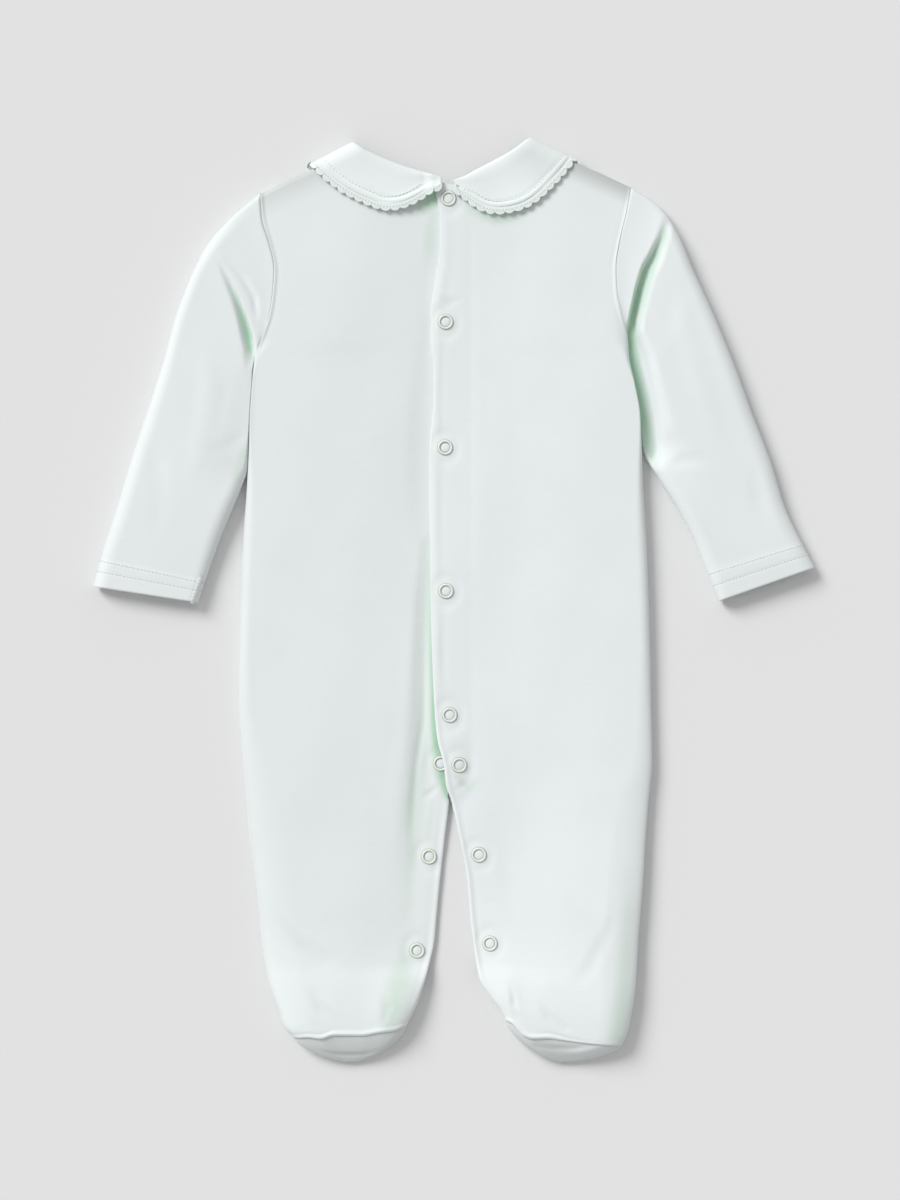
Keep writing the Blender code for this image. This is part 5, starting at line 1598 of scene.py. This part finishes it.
SNAP_OUTER = 4.75
SNAP_INNER = 2.90
SNAP_HEIGHT = 0.95
SNAP_SIDES = 48
SNAP_SECTION = (          # outward from the ring's middle line and up, as shares
    (1.00, -0.30), (1.00, 0.10), (0.92, 0.24), (0.72, 0.40), (0.60, 0.70), (0.34, 0.94), (0.00, 1.00),
    (-0.34, 0.94), (-0.60, 0.70), (-0.72, 0.40), (-0.92, 0.24), (-1.00, 0.10), (-1.00, -0.30),
)
SNAP_LOW = 0.45           # painted shade makes the ring darker below this share of its height
SNAP_WITHIN = 0.99        # what is past this share of the inner radius is the ring
SNAP_SEAT_SIDES = 16
SNAP_CONTACTS = 6         # of these it rests on the highest
SNAP_DOME = 0.5           # height of the cloth's dome in the ring
DOME_RADII = (0.98, 0.86, 0.70, 0.40, 0.0)   # as shares of the inner radius
DOME_SINK = 0.1           # the dome begins this far below the ring's seat
DOME_BOTTOM = -0.35
SNAP_GRAIN = 900.0        # of the paint's uneven tone, for each metre
SNAP_ROUGHNESS = (0.28, 0.2)      # the least, and how much more it grows with the tone
SNAP_PAINT = (0.770, 0.810, 0.740, 1.0)
SNAP_WORN = (0.830, 0.860, 0.800, 1.0)
SNAP_PAINTED_SHADE = (0.300, 0.390, 0.300, 1.0)      # painted shade at the ring's low edges, where it meets the cloth

paint = Finish("Snap paint", Roughness=0.38, Specular_IOR_Level=0.5, Coat_Weight=0.25,
               Coat_Roughness=0.25)
paint_tone = paint.noise(paint.object_place(), SNAP_GRAIN)
# painted shade at the ring's low edges
painted_rim_shade = paint.painted_shade()
painted = paint.blend(SNAP_PAINT, SNAP_WORN, paint_tone)
paint.feed("Base Color", paint.blend(painted, SNAP_PAINTED_SHADE, painted_rim_shade))
paint.feed("Roughness", paint_tone * SNAP_ROUGHNESS[1] + SNAP_ROUGHNESS[0])


def turned_shape(mesh, section, closed, slot):
    """Faces of a section (radius, height) turned round Z, for a slot of the materials."""
    turn = np.linspace(0, 2 * math.pi, SNAP_SIDES, endpoint=False)
    loops = [ring_points(mesh, radius, radius, high, turn) for radius, high in section]
    for face in ring_faces(mesh, loops, closed):
        face.material_index = slot


def snap_mesh(name, knit_at):
    """Ring of a snap and the dome of cloth in it."""
    middle, half_width = (SNAP_OUTER + SNAP_INNER) / 2, (SNAP_OUTER - SNAP_INNER) / 2
    ring = [(middle + half_width * out, SNAP_HEIGHT * high) for out, high in SNAP_SECTION]
    mesh = bmesh.new()
    turned_shape(mesh, ring, True, 0)
    dome = [(SNAP_INNER * r, SNAP_DOME * (1 - r ** 4) - DOME_SINK) for r in DOME_RADII]
    foot = [(0, DOME_BOTTOM), (SNAP_INNER * DOME_RADII[0], DOME_BOTTOM)]
    turned_shape(mesh, foot + dome, False, 1)
    bmesh.ops.recalc_face_normals(mesh, faces=mesh.faces)
    data = mesh_data(name, mesh)
    low, inside = SNAP_LOW * SNAP_HEIGHT * MM, SNAP_INNER * SNAP_WITHIN * MM
    # painted shade on the ring's low edges, where it meets the cloth
    data.attributes.new(SHADE_ATTRIBUTE, "FLOAT", "POINT").data.foreach_set("value", [
        float(vertex.co.z < low and vertex.co.xy.length > inside) for vertex in data.vertices])
    knit = data.uv_layers.new(name=KNIT_MAP)
    places = np.array([data.vertices[loop.vertex_index].co[:2] for loop in data.loops]) / MM
    knit.data.foreach_set("uv", (places + knit_at).ravel())
    data.shade_smooth()
    return data


def snap_seat(x, y, half):
    """Where a ring's middle rests, and how it tilts, as the model's ring does."""
    turn = np.linspace(0, 2 * math.pi, SNAP_SEAT_SIDES, endpoint=False)
    dx, dy = SNAP_OUTER * np.cos(turn), SNAP_OUTER * np.sin(turn)
    under = upper_height(x + dx, y + dy, half) + back_relief(x + dx, y + dy, half, snap_places[half])
    slope_x = 2 * np.mean(under * dx) / SNAP_OUTER ** 2
    slope_y = 2 * np.mean(under * dy) / SNAP_OUTER ** 2
    seat = np.mean(np.sort(under - slope_x * dx - slope_y * dy)[-SNAP_CONTACTS:])
    return seat, Vector((-slope_x, -slope_y, 1))


def add_snap(node, x, y, half):
    """A ring fixed in the cloth of a back half."""
    seat, normal = snap_seat(x, y, half)
    data = snap_mesh(node + "_ring", np.array([x, y]))
    data.transform(Matrix.Translation(Vector((x, y, seat)) * MM)
                   @ normal.to_track_quat("Z", "Y").to_matrix().to_4x4())
    made = place(node + "_ring", data, paint.material)
    data.materials.append(jersey)
    return finished(made, node)


on_placket = [add_snap(f"snap_back_{number}", x, y, RIGHT)
              for number, (x, y) in enumerate(pairs(BACK_SNAPS), 1)]
for half, side in HALVES:
    rings = [add_snap(f"snap_leg_{side}_{number}", x, y, half)
             for number, (x, y) in enumerate(pairs(LEG_SNAPS[half]), 1)]
    rings = rings + on_placket * (half == RIGHT)


# ================================================================ Surface, light and camera
# A plain pale surface, one large soft lamp from the upper left with the light of a pale
# room, and a camera straight above the garment.

SURFACE_COLOUR = (0.78, 0.78, 0.78, 1.0)
SURFACE_SIZE = 6.0        # this section is in metres
SURFACE_PARTS = 8
SURFACE_GAP = 0.0002      # it lies this far below the garment
CAMERA_HEIGHT = 1.706
CAMERA_PLACE = (-0.0027, 0.0003)
LAMP_FROM = (-0.95, 0.90, 0.95)
LAMP_WIDTH = math.radians(28)
LAMP_STRENGTH = 2.42
ROOM_COLOUR = (1.0, 1.0, 1.0, 1.0)
ROOM_STRENGTH = 0.52
LENS = 85.0               # in millimetres
SENSOR = 36.0
NEAREST = 0.05

surface = Finish("Pale surface", Roughness=0.9, Base_Color=SURFACE_COLOUR, Specular_IOR_Level=0.1)
mesh = bmesh.new()
bmesh.ops.create_grid(mesh, x_segments=SURFACE_PARTS, y_segments=SURFACE_PARTS, size=SURFACE_SIZE / 2)
surface_data = mesh_data("surface", mesh)
surface_data.transform(Matrix.Translation((0, 0, -SURFACE_GAP)))
place("surface", surface_data, surface.material)

lamp = bpy.data.lights.new("lamp", "SUN")
lamp.angle = LAMP_WIDTH
lamp.energy = LAMP_STRENGTH
holder = new_object("lamp", lamp)
holder.rotation_euler = (-Vector(LAMP_FROM)).to_track_quat("-Z", "Y").to_euler()

world = bpy.data.worlds.new("Soft room light")
world.use_nodes = True
background = world.node_tree.nodes["Background"]
background.inputs["Color"].default_value = ROOM_COLOUR
background.inputs["Strength"].default_value = ROOM_STRENGTH
bpy.context.scene.world = world
bpy.context.scene.view_settings.view_transform = "Standard"

camera_data = bpy.data.cameras.new("camera")
camera_data.lens = LENS
camera_data.sensor_width = SENSOR
camera_data.clip_start = NEAREST
camera = new_object("camera", camera_data)
camera.location = (*CAMERA_PLACE, CAMERA_HEIGHT)
bpy.context.scene.camera = camera
